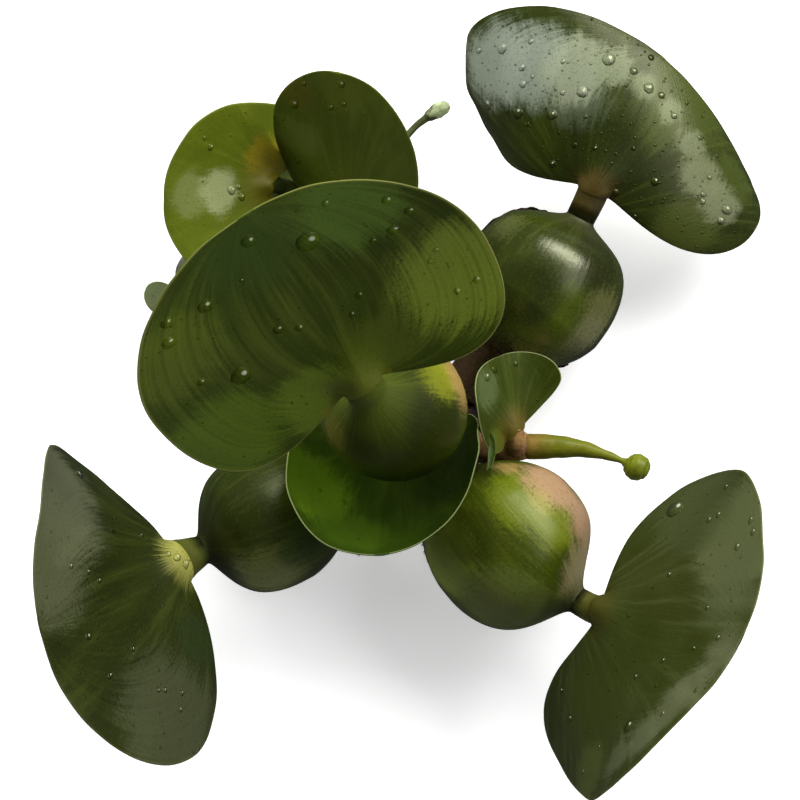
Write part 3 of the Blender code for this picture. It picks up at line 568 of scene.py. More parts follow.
leaves = {
    "backRight": dict(
        node="back_right", slots=("blade_dark", "float_dark"), crown="main", leavesAt=(62, 5),
        belly=(24.6, 33.4, 20.2), radius=20.2, back=20, front=17.6, foot=5.2, neck=3.7,
        top=(37.3, 55.3, 29), round=7, flare=1.1, stretch=1.12,
        blade=dict(
            length=39.1, half=(49.3, 51.2), widest=(16.2, 25.5), lobe=(24.3, 26.5), shoulder=(0.71, 0.63),
            base=4, cup=-21.2, cupChange=4.6, bend=-23.1, twist=-22.3, heading=66.5, rise=35.1, roll=-7.6),
        look=dict(
            darkLook, deep=(14, 20, 2), leaf=(28, 40, 3), light=(65, 85, 12), roughness=0.36, sheen=0.45,
            drops=0.7, dropsFrom=0.2, grain=0.03, rimShows=0.15, veins=0.1, rays=12, rayShows=0.5,
            neckTone=(70, 45, 10),
            patches=[
                (-3, 10, 5, 12, (11, 16, 2), 0.7), (26, 0, 4, 9, (65, 82, 13), 0.7),
                (12, 31, 6, 14, (60, 80, 12), 0.7), (33, 19, 5, 9, (60, 80, 12), 0.7),
                # The pale grey zones, and the pale strip of small zones along the right lobe, are a painted
                # sheen.
                (-39, 20, 5, 11, paintedSheenTone, 0.8), (-28, 22, 4, 11, paintedSheenTone, 0.75),
                (-13, 20, 2, 10, (100, 120, 70), 0.6), (-17, 25, 4, 8, (300, 330, 220), 0.7),
                (-9, 30, 2, 5, (200, 230, 130), 0.8), (0, 29, 1, 5, (170, 200, 100), 0.8),
                (9, 27.5, 1, 4.5, (160, 190, 90), 0.8), (17, 22.5, 1.5, 5.5, (170, 190, 100), 0.8),
                (24, 15, 3, 7, (180, 200, 100), 0.85), (32, 10, 3, 7, (190, 210, 110), 0.8)],
            bigDrops=[
                (-45.5, 22.9, 1), (-37.9, 24.5, 1.4), (-30.8, 27.8, 0.7), (-30.2, 21.3, 1),
                (-28.3, 17.5, 1), (-26.5, 20.1, 0.6), (-20.6, 25.8, 0.6), (-17.2, 19.1, 0.7),
                (-38.3, 8.4, 1.9), (-27, 10.1, 1.7), (-17.5, 13.2, 1.3), (-12.8, 21, 1.4),
                (-10.8, 30.7, 1.6), (-4, 31, 1), (1.3, 29.3, 1.4), (5, 29.5, 0.9), (10.2, 26.5, 0.9),
                (13, 8.5, 1.2), (-12.6, 1.9, 1), (-4, 10.1, 0.7), (26, 16.1, 0.9), (26.9, 8.2, 1),
                (34.7, 8.7, 1.9), (34.1, 4.4, 1.4)]),
        bulbLook=dict(
            darkBulb, deep=(16, 23, 2), skin=(25, 36, 2), sheen=0.85, roughness=0.28, neckTone=(55, 36, 5),
            coneTone=(20, 17, 3),
            patches=[
                (24, 16, 31, 4, 8, (85, 110, 8), 0.7), (30, 23, 37, 3, 7, (70, 100, 3), 0.65),
                (37, 36, 35, 4, 6, (12, 15, 2), 0.7), (38, 24, 31, 1, 9, (160, 160, 45), 0.6),
                (35, 19, 29, 1, 8, (180, 180, 75), 0.7), (15, 46, 34, 1, 7, (90, 100, 25), 0.6),
                (20, 27, 39, 4, 8, (11, 16, 2), 0.65)])),
    "centre": dict(
        node="centre", slots=("blade_dark", "float_dark"), crown="main", leavesAt=(105, 70),
        belly=(-12.2, -3.1, 48), radius=16.7, back=18, front=17.5, foot=3, neck=4.2, top=(-19.2, -1.5, 70),
        round=5, flare=1.2, stretch=1.22,
        blade=dict(
            length=57, half=(38.8, 41.2), widest=(19.5, 19.5), lobe=(22.5, 22.5), shoulder=(0.64, 0.64),
            base=4.6, cup=1.7, cupChange=8.6, bend=7.4, twist=-2, heading=126.4, rise=42.4, roll=-12.7),
        look=dict(
            darkLook, deep=(34, 52, 3), leaf=(50, 76, 5), light=(110, 145, 14), sheen=0.2, banding=0.6,
            streaks=0.6, rayShows=0.1, neckTone=(100, 115, 12), neckReach=9, rimShows=0.8,
            patches=[
                (31, 14, 7, 15, (240, 320, 30), 0.8), (18, 46, 6, 12, (110, 200, 20), 0.8),
                (-4, 48, 5, 12, (50, 95, 12), 0.7), (8, 8, 3, 9, (85, 115, 10), 0.75),
                (-31, 6, 6, 12, (110, 180, 11), 0.75), (-10, 3, 4, 9, (140, 200, 15), 0.75),
                (-30, 35, 5, 12, (120, 165, 12), 0.65), (-8, -3, 1.5, 3, (200, 140, 12), 0.8),
                (5, -1, 1, 2.5, (190, 200, 12), 0.8)],
            bigDrops=[
                (-17.4, 41.4, 1.8), (-20.5, 19.2, 2.3), (-27.8, 24, 1), (-8.3, 24.7, 1.2), (-4.4, 22.1, 1),
                (23.2, 34, 1.5), (28.1, 37.3, 1.2), (25.2, 42.8, 1.2), (14.4, 49.3, 0.9), (-2.6, 50.2, 1.7),
                (18.5, 33.7, 0.8), (9.9, 21.7, 1), (6.4, 18.2, 0.7), (-8.4, 41.5, 0.6), (28.7, 23.7, 0.7),
                (33.1, 11.3, 1), (28.3, 10.8, 0.9), (-25.5, 44.5, 1.4), (-27.8, 39.6, 1.6),
                (7.1, 41.7, 2.6)]),
        bulbLook=dict(
            darkBulb, deep=(28, 42, 2), skin=(45, 66, 3), light=(85, 110, 8), neckTone=(70, 95, 8),
            coneShows=0.15, fibres=0.15, sheen=0.22,
            patches=[
                # The dark zone at (-3, -8, 61) is painted shade by the neck; the bright zones at the top
                # right are partly colour, partly painted highlight.
                (-3, -8, 61, 5, 8, (17, 24, 2), 0.85), (-3, 2, 60, 2, 8, (250, 270, 10), 0.75),
                (3, 3, 53, 2, 9, (400, 250, 80), 0.75), (-25, -10, 60, 1, 5, (130, 120, 10), 0.7)])),
    "frontLeft": dict(
        node="front_left", slots=("blade_dark", "float_dark"), crown="main", leavesAt=(215, -12),
        belly=(-42.8, -25.1, 18.1), radius=17.8, back=19, front=18.5, foot=3, neck=3.6,
        top=(-64.5, -36.7, 27), round=5, flare=1.2, stretch=1.05,
        blade=dict(
            length=51.8, half=(36.7, 42.3), widest=(20.1, 20.1), lobe=(-2.4, -2.4), shoulder=(0.6, 0.6),
            base=5.6, cup=-12, cupChange=21.6, bend=1.3, twist=26.2, heading=216, rise=54.3, roll=-2.9),
        look=dict(
            # The pale yellow fan at the neck is its yellow colour, made paler to carry a painted wet
            # highlight.
            darkLook, deep=(11, 16, 2), leaf=(20, 28, 3), neckTone=(420, 410, 90), neckReach=9,
            neckShows=0.75, rimShows=0.1,
            patches=[
                # The pale grey-green zones along the margins are a painted sheen.
                (25, 33, 7, 16, (130, 140, 75), 0.8), (12, 45, 5, 15, (100, 110, 55), 0.75),
                (-32, 24, 7, 15, (55, 63, 28), 0.8), (-19, 7, 3, 7, (18, 30, 7), 0.7)],
            bigDrops=[
                (0.5, 3.2, 1), (-1.8, 1.8, 0.9), (2.2, 4.6, 0.7), (9.5, 37.3, 0.8), (6.6, 31.7, 0.7),
                (3.8, 29.1, 0.7), (-6.5, 38.5, 1), (-13.5, 26.8, 0.7), (-16.5, 36.2, 0.8),
                (-24.6, 24.2, 0.7), (-25.3, 22.4, 0.7), (-27.9, 17.7, 0.7), (-31.1, 19.9, 0.7),
                (9.3, 7.6, 0.7), (28.6, 16.4, 1.6)]),
        bulbLook=dict(
            darkBulb, deep=(15, 22, 2), skin=(24, 35, 3), neckTone=(70, 78, 8), coneShows=0.8,
            patches=[
                (-42, -41, 29, 2, 13, (200, 225, 60), 0.7), (-48, -27, 35, 4, 7, (14, 20, 3), 0.6),
                (-33, -33, 31, 4, 6, (40, 75, 6), 0.6)])),
    "frontRight": dict(
        node="front_right", slots=("blade_dark", "float_light"), crown="main", leavesAt=(287, 4),
        belly=(16, -31.7, 20.8), radius=20.3, back=21, front=20.7, foot=3.1, neck=3.3,
        top=(36.5, -48.5, 27), round=4, flare=1.15, stretch=1.06,
        blade=dict(
            length=52, half=(42.2, 41.5), widest=(21.4, 19.2), lobe=(34.3, 9.9), shoulder=(0.56, 0.55),
            base=3.6, cup=-12.2, cupChange=24, bend=6.3, twist=6.9, heading=-20.1, rise=50.7, roll=-3.8),
        look=dict(
            darkLook, deep=(24, 33, 4), leaf=(36, 47, 9), light=(70, 85, 28), rays=14, rayShows=0.45,
            banding=0.05, streaks=0.1, neckTone=(50, 45, 6), neckReach=9, rimShows=0.12,
            patches=[
                # The grey-green zones along the right and lower margins are a painted sheen.
                (-25, 38, 8, 14, (105, 125, 48), 0.8), (-30, 17, 6, 12, (55, 66, 22), 0.7),
                (-12, 42, 3, 13, (80, 95, 40), 0.6), (20, 11, 6, 10, (30, 43, 4), 0.7),
                (37, 16, 3, 8, (70, 88, 14), 0.6), (4, 48, 1, 9, (130, 145, 75), 0.5),
                (12, 45, 1, 9, (140, 155, 80), 0.5), (19, 41, 1, 9, (140, 155, 80), 0.5),
                (26, 36, 1, 9, (140, 155, 80), 0.5), (32, 29, 1, 8, (120, 135, 65), 0.45)],
            bigDrops=[
                (-29.9, 7.7, 2.6), (-36.2, 23.1, 0.9), (-28.7, 25.5, 0.9), (-27.4, 22.7, 0.9),
                (-27.7, 39.5, 0.9), (-24.9, 42, 0.9), (-21.2, 37.9, 1), (-12.4, 17.8, 0.7),
                (-6.1, 35.8, 0.7), (0.2, 44.2, 0.8), (3.6, 37.2, 0.7), (7.8, 28.6, 0.7), (13, 21.6, 0.7),
                (20.8, -3.9, 0.7), (26.5, 1.4, 1), (24.3, 27.1, 1.7), (20, 39.3, 0.8), (30.4, 16.9, 0.7),
                (37, 11.8, 0.7)]),
        bulbLook=dict(
            darkBulb, deep=(30, 42, 2), skin=(50, 72, 3), light=(130, 160, 8), neckTone=(75, 75, 8),
            collar=6, coneShows=0.8,
            patches=[
                (17, -22, 41, 4, 9, (130, 165, 4), 0.8), (25, -29, 37, 3, 7, (140, 170, 4), 0.7),
                (-1, -37, 32, 6, 8, (200, 260, 25), 0.8), (5, -32, 39, 3, 7, (26, 37, 2), 0.7),
                (14, -11, 35, 3, 5, (300, 200, 60), 0.85), (27, -17, 34, 3, 10, (370, 220, 120), 0.88),
                (36, -27, 31, 3, 10, (330, 200, 115), 0.88), (33, -39, 30, 2, 10, (300, 245, 120), 0.8),
                # The small pale zone at (23, -23, 40) is a painted highlight.
                (23, -23, 40, 0.5, 6, (360, 300, 90), 0.45), (13, -49, 35, 7, 8, (110, 135, 30), 0.7)])),
    "daughterRight": dict(
        node="daughter_right", slots=("blade_dark", "float_dark"), crown="daughter", leavesAt=(30, 28),
        belly=(-16, 38.5, 15), radius=9, back=10, front=10, foot=1.8, neck=1.9, top=(-24, 51.4, 36),
        round=5, flare=1.2, stretch=1.15,
        blade=dict(
            length=34.6, half=(20.4, 20.4), widest=(12.1, 12.1), lobe=(11.4, 11.4), shoulder=(0.54, 0.54),
            base=2.2, cup=-2.9, cupChange=11.1, bend=3.7, twist=-10.2, heading=90, rise=47.4, roll=-34.8),
        look=dict(
            darkLook, deep=(60, 85, 5), leaf=(85, 115, 8), light=(130, 170, 20), sheen=0.25, rimShows=0.3,
            patches=[
                (0, 30, 3, 7, (120, 145, 12), 0.6), (-12, 27.5, 2, 5, (130, 100, 10), 0.5),
                (-13, 14, 3, 6, (130, 170, 30), 0.7)],
            bigDrops=[
                (-12.9, 23.6, 1.4), (0.6, 31.9, 1.1), (-9.4, 30.2, 0.9), (-2.8, 24.8, 0.9),
                (0.8, 26.6, 0.9)]),
        bulbLook=darkBulb),
    "daughterBack": dict(
        node="daughter_back", slots=("blade_light", "float_light"), crown="daughter", leavesAt=(108, 25),
        belly=(-37, 53.9, 18.6), radius=10.8, back=11.5, front=9.5, foot=1.8, neck=2, top=(-43.5, 56.5, 31),
        round=5, flare=1.2, stretch=1.15,
        blade=dict(
            length=30.8, half=(21, 22.2), widest=(10.5, 11.4), lobe=(19, 13.1), inner=(-19, -3),
            shoulder=(0.6, 0.6), base=2.4, cup=11, cupChange=2.6, bend=7.6, twist=6.4, heading=197.8,
            rise=29.2, roll=-29.1),
        look=dict(
            darkLook, deep=(90, 120, 5), leaf=(130, 170, 7), light=(200, 235, 18), sheen=0.45,
            roughness=0.38, rimShows=0.35, neckTone=(170, 140, 10), neckReach=11,
            patches=[
                # The pale zones at (0.5, 23) and (0, 15) are a painted gloss.
                (0.5, 23, 2.5, 6, (240, 280, 90), 0.75), (0, 15, 3, 5, (380, 420, 200), 0.8),
                (7, 1, 2, 6, (340, 250, 12), 0.8)],
            bigDrops=[(11.3, 17.3, 0.9), (-0.1, 11, 1.2), (-2.1, 8.2, 1), (0.5, 8.9, 0.7)]),
        bulbLook=dict(darkBulb, neckTone=(30, 45, 4))),
    "daughterLeft": dict(
        node="daughter_left", slots=("blade_light", "float_light"), crown="daughter", leavesAt=(165, 8),
        belly=(-58, 38, 10), radius=9.6, back=12, front=10, foot=1.7, neck=1.2, top=(-69.3, 29.9, 14),
        round=5, flare=1.2, stretch=1.15,
        blade=dict(
            length=8.4, half=(4.2, 4.2), widest=(3.1, 3.1), lobe=(3, 3), shoulder=(0.62, 0.62), base=1.2,
            cup=9.8, cupChange=0, bend=11.8, twist=-3.2, heading=158.6, rise=31, roll=6.4),
        look=dict(darkLook, deep=(190, 230, 110), leaf=(250, 290, 140), light=(340, 380, 200), neckReach=2),
        bulbLook=dict(darkBulb, deep=(60, 65, 40), skin=(100, 110, 70), collar=3)),
}

youngLook = dict(
    darkLook, deep=(14, 33, 1), leaf=(30, 60, 2), light=(60, 100, 5), rimTone=(300, 340, 140), rimShows=0.7,
    rimWide=0.12, sheen=0.3)
pinkBrown = dict(
    tones=[(0, (150, 65, 30)), (1, (400, 230, 80))], light=(520, 360, 160), deep=(60, 20, 12),
    roughness=0.35, lumps=0.06)
greenStalk = dict(
    tones=[(0, (100, 70, 20)), (1, (60, 100, 10))], light=(160, 180, 30), deep=(30, 35, 6), roughness=0.35,
    lumps=0.04)
stalked = {
    "frontCup": dict(
        node="front_cup", slots=("blade_young", "blade_young"), stalkLook=greenStalk, crown="main",
        leavesAt=(190, 38), foot=2.4, neck=2, top=(-12.9, -6.8, 20.2),
        blade=dict(
            length=45.3, half=(30.2, 30.6), widest=(17.4, 17.4), lobe=(15.8, 15.8), shoulder=(0.6, 0.6),
            base=2.6, cup=45.4, cupChange=-5.9, bend=20.8, twist=-6.5, heading=-91.5, rise=18.9, roll=3.9),
        look=dict(
            youngLook, patches=[(21, 22, 6, 12, (85, 160, 4), 0.85), (8, 34, 4, 9, (45, 90, 3), 0.7)])),
    "young": dict(
        node="young", slots=("blade_young", "blade_young"), stalkLook=pinkBrown, start=(17.6, -8.5, 21.5),
        startTowards=(0, 0.55, 0.83), foot=2.9, neck=2.8, top=(16.6, -4.5, 26),
        blade=dict(
            length=18.9, half=(14.8, 17.3), widest=(10.1, 10.1), lobe=(-6.2, -1), inner=(0, -9),
            shoulder=(0.6, 0.6), base=3.2, cup=47.8, cupChange=9.6, bend=-5.5, twist=4.6, heading=100.6,
            rise=27, roll=35),
        look=dict(
            youngLook, deep=(25, 38, 2), leaf=(37, 53, 3), light=(80, 110, 15), neckTone=(110, 78, 10),
            # The pale zone at (-8, 13) is a painted gloss.
            neckReach=8, patches=[(-8, 13, 2, 6, (120, 160, 60), 0.6), (-7, -1, 2, 5, (100, 130, 10), 0.7)],
            bigDrops=[(-6, 15.6, 1.2)])),
}


# Round stalks, runners and shoots

def stalkFinish(name, look):
    f = Finish(name + "Skin", Specular_IOR_Level=0.35, **waxy)
    place, skin = f.place(), f.layer("skin")
    fibres = f.cloud(f.stretched(skin, 26, 12), 1.0, 3, 0.6)
    mottle = f.cloud(place, 0.5, 3, 0.6)
    share = f.part(skin, 1)
    colour = look["tones"][0][1]
    for before, after in zip(look["tones"], look["tones"][1:]):
        colour = f.blend(f.ease(share + (mottle - 0.5) * 0.12, before[0], after[0]), colour, after[1])
    colour = f.blend(f.ease(fibres, 0.45, 0.75) * 0.45, colour, look["light"])
    colour = f.blend(f.ease(mottle, 0.55, 0.35) * 0.4, colour, look["deep"])
    rough = f.ease(mottle, 0.3, 0.7, look["roughness"] - 0.05, look["roughness"] + 0.08)
    return f.show(colour, rough, fibres * 0.08 + mottle * 0.06)


nearlyUp = Vector((0.03, 0.02, 1))


def addTube(name, line, widths, look, nodes, seed):
    around = 32
    ways, ups = carriedUps(line, nearlyUp)
    steps = lengthsAlong(line)
    points, skin = [], []
    for centre, way, up, width, step in zip(line, ways, ups, widths, steps):
        side = up.cross(way).normalized()
        for j, a in enumerate(circle(around)):
            out = side * math.cos(a) + up * math.sin(a)
            lump = 1 + look["lumps"] * rough3(*((centre + out * width) / 2.5 + Vector((seed, 0, 0))))
            points.append(centre + out * width * lump)
            skin.append((j / around, step / steps[-1]))
    faces, finish = ringFaces(len(line), around), stalkFinish(name, look)
    return addPiece(name, points, faces, finish, nodes, {"skin": skin})


def addStalk(name, leaf, look, seed):
    if "crown" in leaf:
        foot, out = crownExit(leaf)
    else:
        foot, out = Vector(leaf["start"]), Vector(leaf["startTowards"]).normalized()
    end = unit(leaf["blade"]["heading"], leaf["blade"]["rise"])
    top = Vector(leaf["top"]) + end * 0.6
    reach = (top - foot).length
    line = [arc(foot, top, out * reach, end * reach, i / 20) for i in range(21)]
    widths = [mix(leaf["foot"], leaf["neck"] * 0.97, i / 20) for i in range(21)]
    return addTube(name, line, widths, look, [leaf["node"] + "_stalk"], seed)


shootLook = dict(
    tones=[(0, (240, 130, 30)), (0.3, (120, 130, 6)), (1, (140, 165, 8))], light=(200, 200, 12),
    deep=(60, 80, 5), roughness=0.4, lumps=0.02)
sproutLook = dict(
    tones=[(0, (50, 45, 15)), (0.9, (50, 60, 20)), (0.95, (420, 490, 260))], light=(160, 180, 70),
    deep=(35, 40, 15), roughness=0.4, lumps=0.03)
routes = {
    "sideStem": dict(
        node="side_stem", slot="runner", look=pinkBrown,
        route=[
            ((7.4, -3.8, 11.6), 4.9), ((8.9, -4.9, 13), 5.5), ((12, -6.3, 15.4), 5.5),
            ((16, -6.9, 18), 4.7), ((19, -7.5, 18.9), 3.7), ((21.6, -7.9, 19.5), 2.8)]),
    "sideShoot": dict(
        node="side_shoot", slot="shoot", look=shootLook,
        route=[
            ((19.6, -7.6, 19.2), 3), ((21.5, -7.7, 19.6), 3.2), ((24.6, -7.8, 20.2), 3.15),
            ((29, -8, 21), 2.75), ((34.5, -8.7, 21.8), 2.05), ((40, -10.3, 22.5), 1.2),
            ((43.4, -11.6, 23), 0.75), ((44.4, -12.1, 23.1), 1.1), ((45, -12.4, 23.15), 2.2),
            ((45.9, -12.8, 23.2), 3), ((47.1, -13.3, 23.3), 3.4), ((48.5, -13.9, 23.5), 3.1),
            ((49.5, -14.4, 23.6), 2.2), ((50.1, -14.7, 23.65), 1)]),
    "motherRunner": dict(
        node="runner", slot="runner", look=pinkBrown,
        route=[
            ((-5.2, 4.7, 10.8), 2.4), ((-12, 10.2, 9.4), 2.3), ((-19, 17, 8.6), 2.2),
            ((-27, 25, 8.1), 2.1)]),
    "newSprout": dict(
        node="sprout", slot="shoot", look=sproutLook,
        route=[
            ((-29, 31.5, 7), 1), ((-26, 43, 7.2), 1), ((-20.5, 58, 9), 1), ((-12.5, 71.5, 11), 0.9),
            ((-7.5, 77.8, 12), 0.9), ((-4.6, 80.2, 12.4), 1), ((-3, 81.3, 12.8), 1.6),
            ((-1, 82.4, 13.3), 2.1), ((0.7, 83.1, 13.7), 1.8), ((2, 83.5, 14), 0.8)]),
}


# Crowns, sheaths and roots

def fibreFinish(name, deep, middle, light, roughness, sheen=0.4):
    f = Finish(name + "Skin", IOR=1.45, Specular_IOR_Level=sheen)
    place, skin = f.place(), f.layer("skin")
    fibres = f.cloud(f.stretched(skin, 60, 5), 1.0, 4, 0.65)
    mottle = f.cloud(place, 0.35, 4, 0.6)
    colour = f.blend(f.ease(mottle, 0.3, 0.7), deep, middle)
    colour = f.blend(f.ease(fibres, 0.5, 0.8) * 0.7, colour, light)
    colour = f.blend(f.ease(fibres, 0.45, 0.25) * 0.6, colour, deep)
    rough = f.ease(mottle, 0.3, 0.7, roughness - 0.1, roughness + 0.1)
    return f.show(colour, rough, fibres * 0.18 + mottle * 0.1)


def stripPoints(rows, thick):  # closed rings for a thin sheet given as rows of points
    rings = []
    for i, row in enumerate(rows):
        after, before = rows[min(i + 1, len(rows) - 1)], rows[max(i - 1, 0)]
        top, bottom = [], []
        for j, p in enumerate(row):
            across = row[min(j + 1, len(row) - 1)] - row[max(j - 1, 0)]
            normal = across.cross(after[j] - before[j])
            normal = normal.normalized() if normal.length > 1e-9 else Vector((0, 0, 1))
            isEdge = j in (0, len(row) - 1)
            half = thick * 0.12 if isEdge else thick / 2 * slimEnds(j / (len(row) - 1))
            top.append(p + normal * half)
            bottom.append(p - normal * half)
        rings.append(top + bottom[::-1])
    return rings


def addStrip(name, rows, thick, wide, long, finish, node):  # a thin sheet through rows of points
    rings = stripPoints(rows, thick)
    points = [p for ring in rings for p in ring]
    skin = [(j / len(ring) * wide, i / long) for i, ring in enumerate(rings) for j in range(len(ring))]
    faces = ringFaces(len(rings), len(rings[0]))
    return addPiece(name, points, faces, finish, [node], {"skin": skin})


crownShape = dict(rows=44, around=80, bands=0.05, fibres=0.06, lumps=0.06)
bractShape = dict(count=11, wide=4.6, thick=0.35, tall=1.25, rows=14)


def bractGrid(crown, k, chance, seed):  # one scale that stands on the crown and leans out
    centre, half = crown["centre"], Vector(crown["half"])
    turn = 2 * math.pi * (k + chance.uniform(-0.3, 0.3)) / bractShape["count"]
    tall, lean = bractShape["tall"] * chance.uniform(0.7, 1.1), chance.uniform(0.02, 0.2)
    grid = []
    for i in range(bractShape["rows"]):
        t = i / (bractShape["rows"] - 1)
        height = mix(-0.75, tall * 0.85, t)
        out = math.sqrt(max(0.15, 1 - height * height)) + 0.06 + lean * t * t
        wide = bractShape["wide"] * (half.x / 8.5) * (1 - t ** 2.2)
        wide = wide * (0.9 + 0.2 * rough3(t * 4, k, seed)) / half.x + 0.01
        turns = [turn + s * wide / 2 for s in np.linspace(-1, 1, 9)]
        grid.append([centre + Vector((math.cos(a) * out * half.x, math.sin(a) * out * half.y,
                                      height * half.z)) for a in turns])
    return grid


def addCrown(name, crown, node, seed):
    rows, around = crownShape["rows"], crownShape["around"]
    points, skin, faces = [], [], ringFaces(rows, around)
    centre, half = crown["centre"], Vector(crown["half"])
    for i in range(rows):
        t = mix(0.02, 0.98, i / (rows - 1)) * math.pi
        for j, a in enumerate(circle(around)):
            way = Vector((math.sin(t) * math.cos(a), math.sin(t) * math.sin(a), -math.cos(t)))
            band = 0.5 + 0.5 * math.cos(way.z * 14 + rough3(a, 0, seed))
            fibre = rough3(math.cos(a) * 9, math.sin(a) * 9, way.z * 1.5 + seed)
            lump = rough3(*(way * 2.5 + Vector((seed, 4, 1))))
            swell = 1 - crownShape["bands"] * band + crownShape["fibres"] * fibre
            swell += crownShape["lumps"] * lump
            points.append(centre + Vector([w * h for w, h in zip(way, half)]) * swell)
            skin.append((j / around, i / rows))
    chance = random.Random(seed)
    for k in range(bractShape["count"]):
        rings = stripPoints(bractGrid(crown, k, chance, seed), bractShape["thick"])
        faces += ringFaces(len(rings), len(rings[0]), len(points))
        for i, ring in enumerate(rings):
            points += ring
            skin += [(k * 0.1 + j * 0.01, i / bractShape["rows"]) for j in range(len(ring))]
    finish = fibreFinish(name, (18, 7, 5), (70, 26, 16), (200, 110, 60), 0.5)
    return addPiece(name, points, faces, finish, [node], {"skin": skin})


oldSheaths = {
    "backSheath": dict(
        node="old_sheath_back", turns=(74, 152), low=9.5, high=19.5, off=0.95, flare=0.1),
    "rightSheath": dict(
        node="old_sheath_right", turns=(-108, -68), low=9, high=18.5, off=1, flare=0.5),
}


def addOldSheath(name, sheath, seed):  # wrapped round the float of the back right leaf
    leaf, low, count = leaves["backRight"], sheath["low"], 70
    middle = Vector(leaf["belly"])
    rows = []
    for i in range(count):
        share = i / (count - 1)
        turn = math.radians(mix(*sheath["turns"], share))
        ragged = 0.8 * rough3(share * 13, 0, seed) + 0.5 * rough3(share * 40, 3, seed)
        edge = low + (sheath["high"] - low) * slimEnds(share, 0.7) + ragged
        row = []
        for k in range(15):
            rise = k / 14
            height = mix(low + 0.6 * rough3(share * 9, 7, seed), edge, rise)
            crease = 0.35 * rough3(share * 10, rise * 2, seed + 5)
            reach = leaf["radius"] + sheath["off"] + crease + sheath["flare"] * share ** 6
            flat = math.sqrt(max(1.0, reach ** 2 - (height - middle.z) ** 2))
            row.append(Vector((middle.x + flat * math.cos(turn), middle.y + flat * math.sin(turn), height)))
        rows.append(row)
    finish = fibreFinish(name, (30, 13, 12), (100, 45, 38), (240, 150, 110), 0.55)
    return addStrip(name, rows, 0.4, 0.6, 14, finish, sheath["node"])


youngSheath = dict(
    route=((7.6, -5, 32.4), (11.7, -6.4, 33), (11.4, -11.2, 33.6), (10.2, -15.7, 35.4)), width=2.3,
    thick=0.45)


def addYoungSheath():
    a, b, c, d = (Vector(p) for p in youngSheath["route"])
    aside, raised = Vector((0.9, 0.3, 0.3)), Vector((0, 0, 0.8))
    rows = []
    for i in range(40):
        t = i / 39
        spot = a * (1 - t) ** 3 + b * 3 * (1 - t) ** 2 * t + c * 3 * (1 - t) * t * t + d * t ** 3
        width = youngSheath["width"] * slimEnds(0.12 + 0.8 * t)
        rows.append([spot + aside * (s * width / 2) + raised * (s * s * width / 2)
                     for s in np.linspace(-1, 1, 9)])
    finish = fibreFinish("youngStrip", (35, 60, 3), (60, 100, 6), (180, 220, 40), 0.4)
    return addStrip("youngStrip", rows, youngSheath["thick"], 1, 40, finish, "young_sheath")


rootLook = dict(
    thread=0.28, hair=0.07, hairLength=1.5, perMillimetre=1.9, matPoints=11, strand=0.42,
    strandHairs=(2, 2, 1.4), strandPoints=25)


def threadMesh(threads, sides):  # many thin tapered tubes as one mesh
    points, faces, skin = [], [], []
    for line, widths in threads:
        start = len(points)
        for i, (p, width) in enumerate(zip(line, widths)):
            way = (line[min(i + 1, len(line) - 1)] - line[max(i - 1, 0)]).normalized()
            side = way.orthogonal().normalized()
            up = way.cross(side)
            for j, a in enumerate(circle(sides)):
                points.append(p + (side * math.cos(a) + up * math.sin(a)) * width)
                skin.append((j / sides, i / len(line)))
        faces += ringFaces(len(line), sides, start)
    return points, faces, skin


def hairsOn(line, chance, longest, flat, lowest=0.15):
    steps = lengthsAlong(line)
    hairs = []
    for _ in range(int(steps[-1] * rootLook["perMillimetre"])):
        at = steps[-1] * chance.random()
        p = pointAt(line, steps, at)
        way = (pointAt(line, steps, min(steps[-1], at + 0.5)) - p).normalized()
        turn = chance.uniform(0, 2 * math.pi)
        side = way.orthogonal().normalized()
        out = side * math.cos(turn) + way.cross(side) * math.sin(turn)
        reach = longest(at / steps[-1]) * chance.uniform(0.5, 1.0)
        tip = p + out * reach + way * reach * chance.uniform(0.2, 0.8)
        tip.z = max(lowest, p.z + (tip.z - p.z) * flat)
        bend = (p + tip) / 2 + Vector([chance.uniform(-0.2, 0.2) * reach for _ in range(3)])
        bend.z = max(lowest, bend.z)
        thin = rootLook["hair"]
        hairs.append(([p, bend, tip], [thin, thin * 0.8, thin * 0.3]))
    return hairs


def rootFinish(name):
    return fibreFinish(name, (8, 4, 6), (26, 12, 14), (90, 50, 50), 0.6, 0.3)


mats = {
    "rootMat": dict(
        node="root_mat", centre=(0, 0), half=(16.5, 14.5), height=5.5, count=150, seed=3, crown="main"),
    "daughterRootMat": dict(
        node="daughter_root_mat", centre=(-30, 28), half=(8.5, 8), height=3.2, count=70, seed=4,
        crown="daughter"),
}
strands = {
    "root_1": (76, 29, 3), "root_2": (101, 33, -4), "root_3": (124, 22, 3.5), "root_4": (166, 35, 5),
    "root_5": (189, 31, -3.5), "root_6": (239, 24, 3), "root_7": (262, 20, -2.5)}


def matThread(mat, k, chance):  # one root inside the mat, from the crown out
    crown, count = crowns[mat["crown"]], rootLook["matPoints"]
    turn = chance.uniform(0, 2 * math.pi)
    reach = chance.uniform(0.55, 0.99)
    swirl, lift = chance.uniform(-0.5, 0.5), chance.uniform(0.05, 1.0)
    line = []
    for i in range(count):
        t = i / (count - 1)
        angle = turn + swirl * t * t
        start = 0.45 * crown["half"][0]
        x = math.cos(angle) * mix(start, mat["half"][0] * reach, t)
        y = math.sin(angle) * mix(start, mat["half"][1] * reach, t)
        share = (x / mat["half"][0]) ** 2 + (y / mat["half"][1]) ** 2
        roof = mat["height"] * math.sqrt(max(0.0, 1 - share))
        z = mix(crown["centre"].z - 0.75 * crown["half"][2], roof * lift, min(1.0, t * 2.5) ** 0.6)
        z = max(0.35, z + 0.3 * rough3(t * 5, k, mat["seed"]))
        line.append(Vector((mat["centre"][0] + x, mat["centre"][1] + y, z)))
    return line


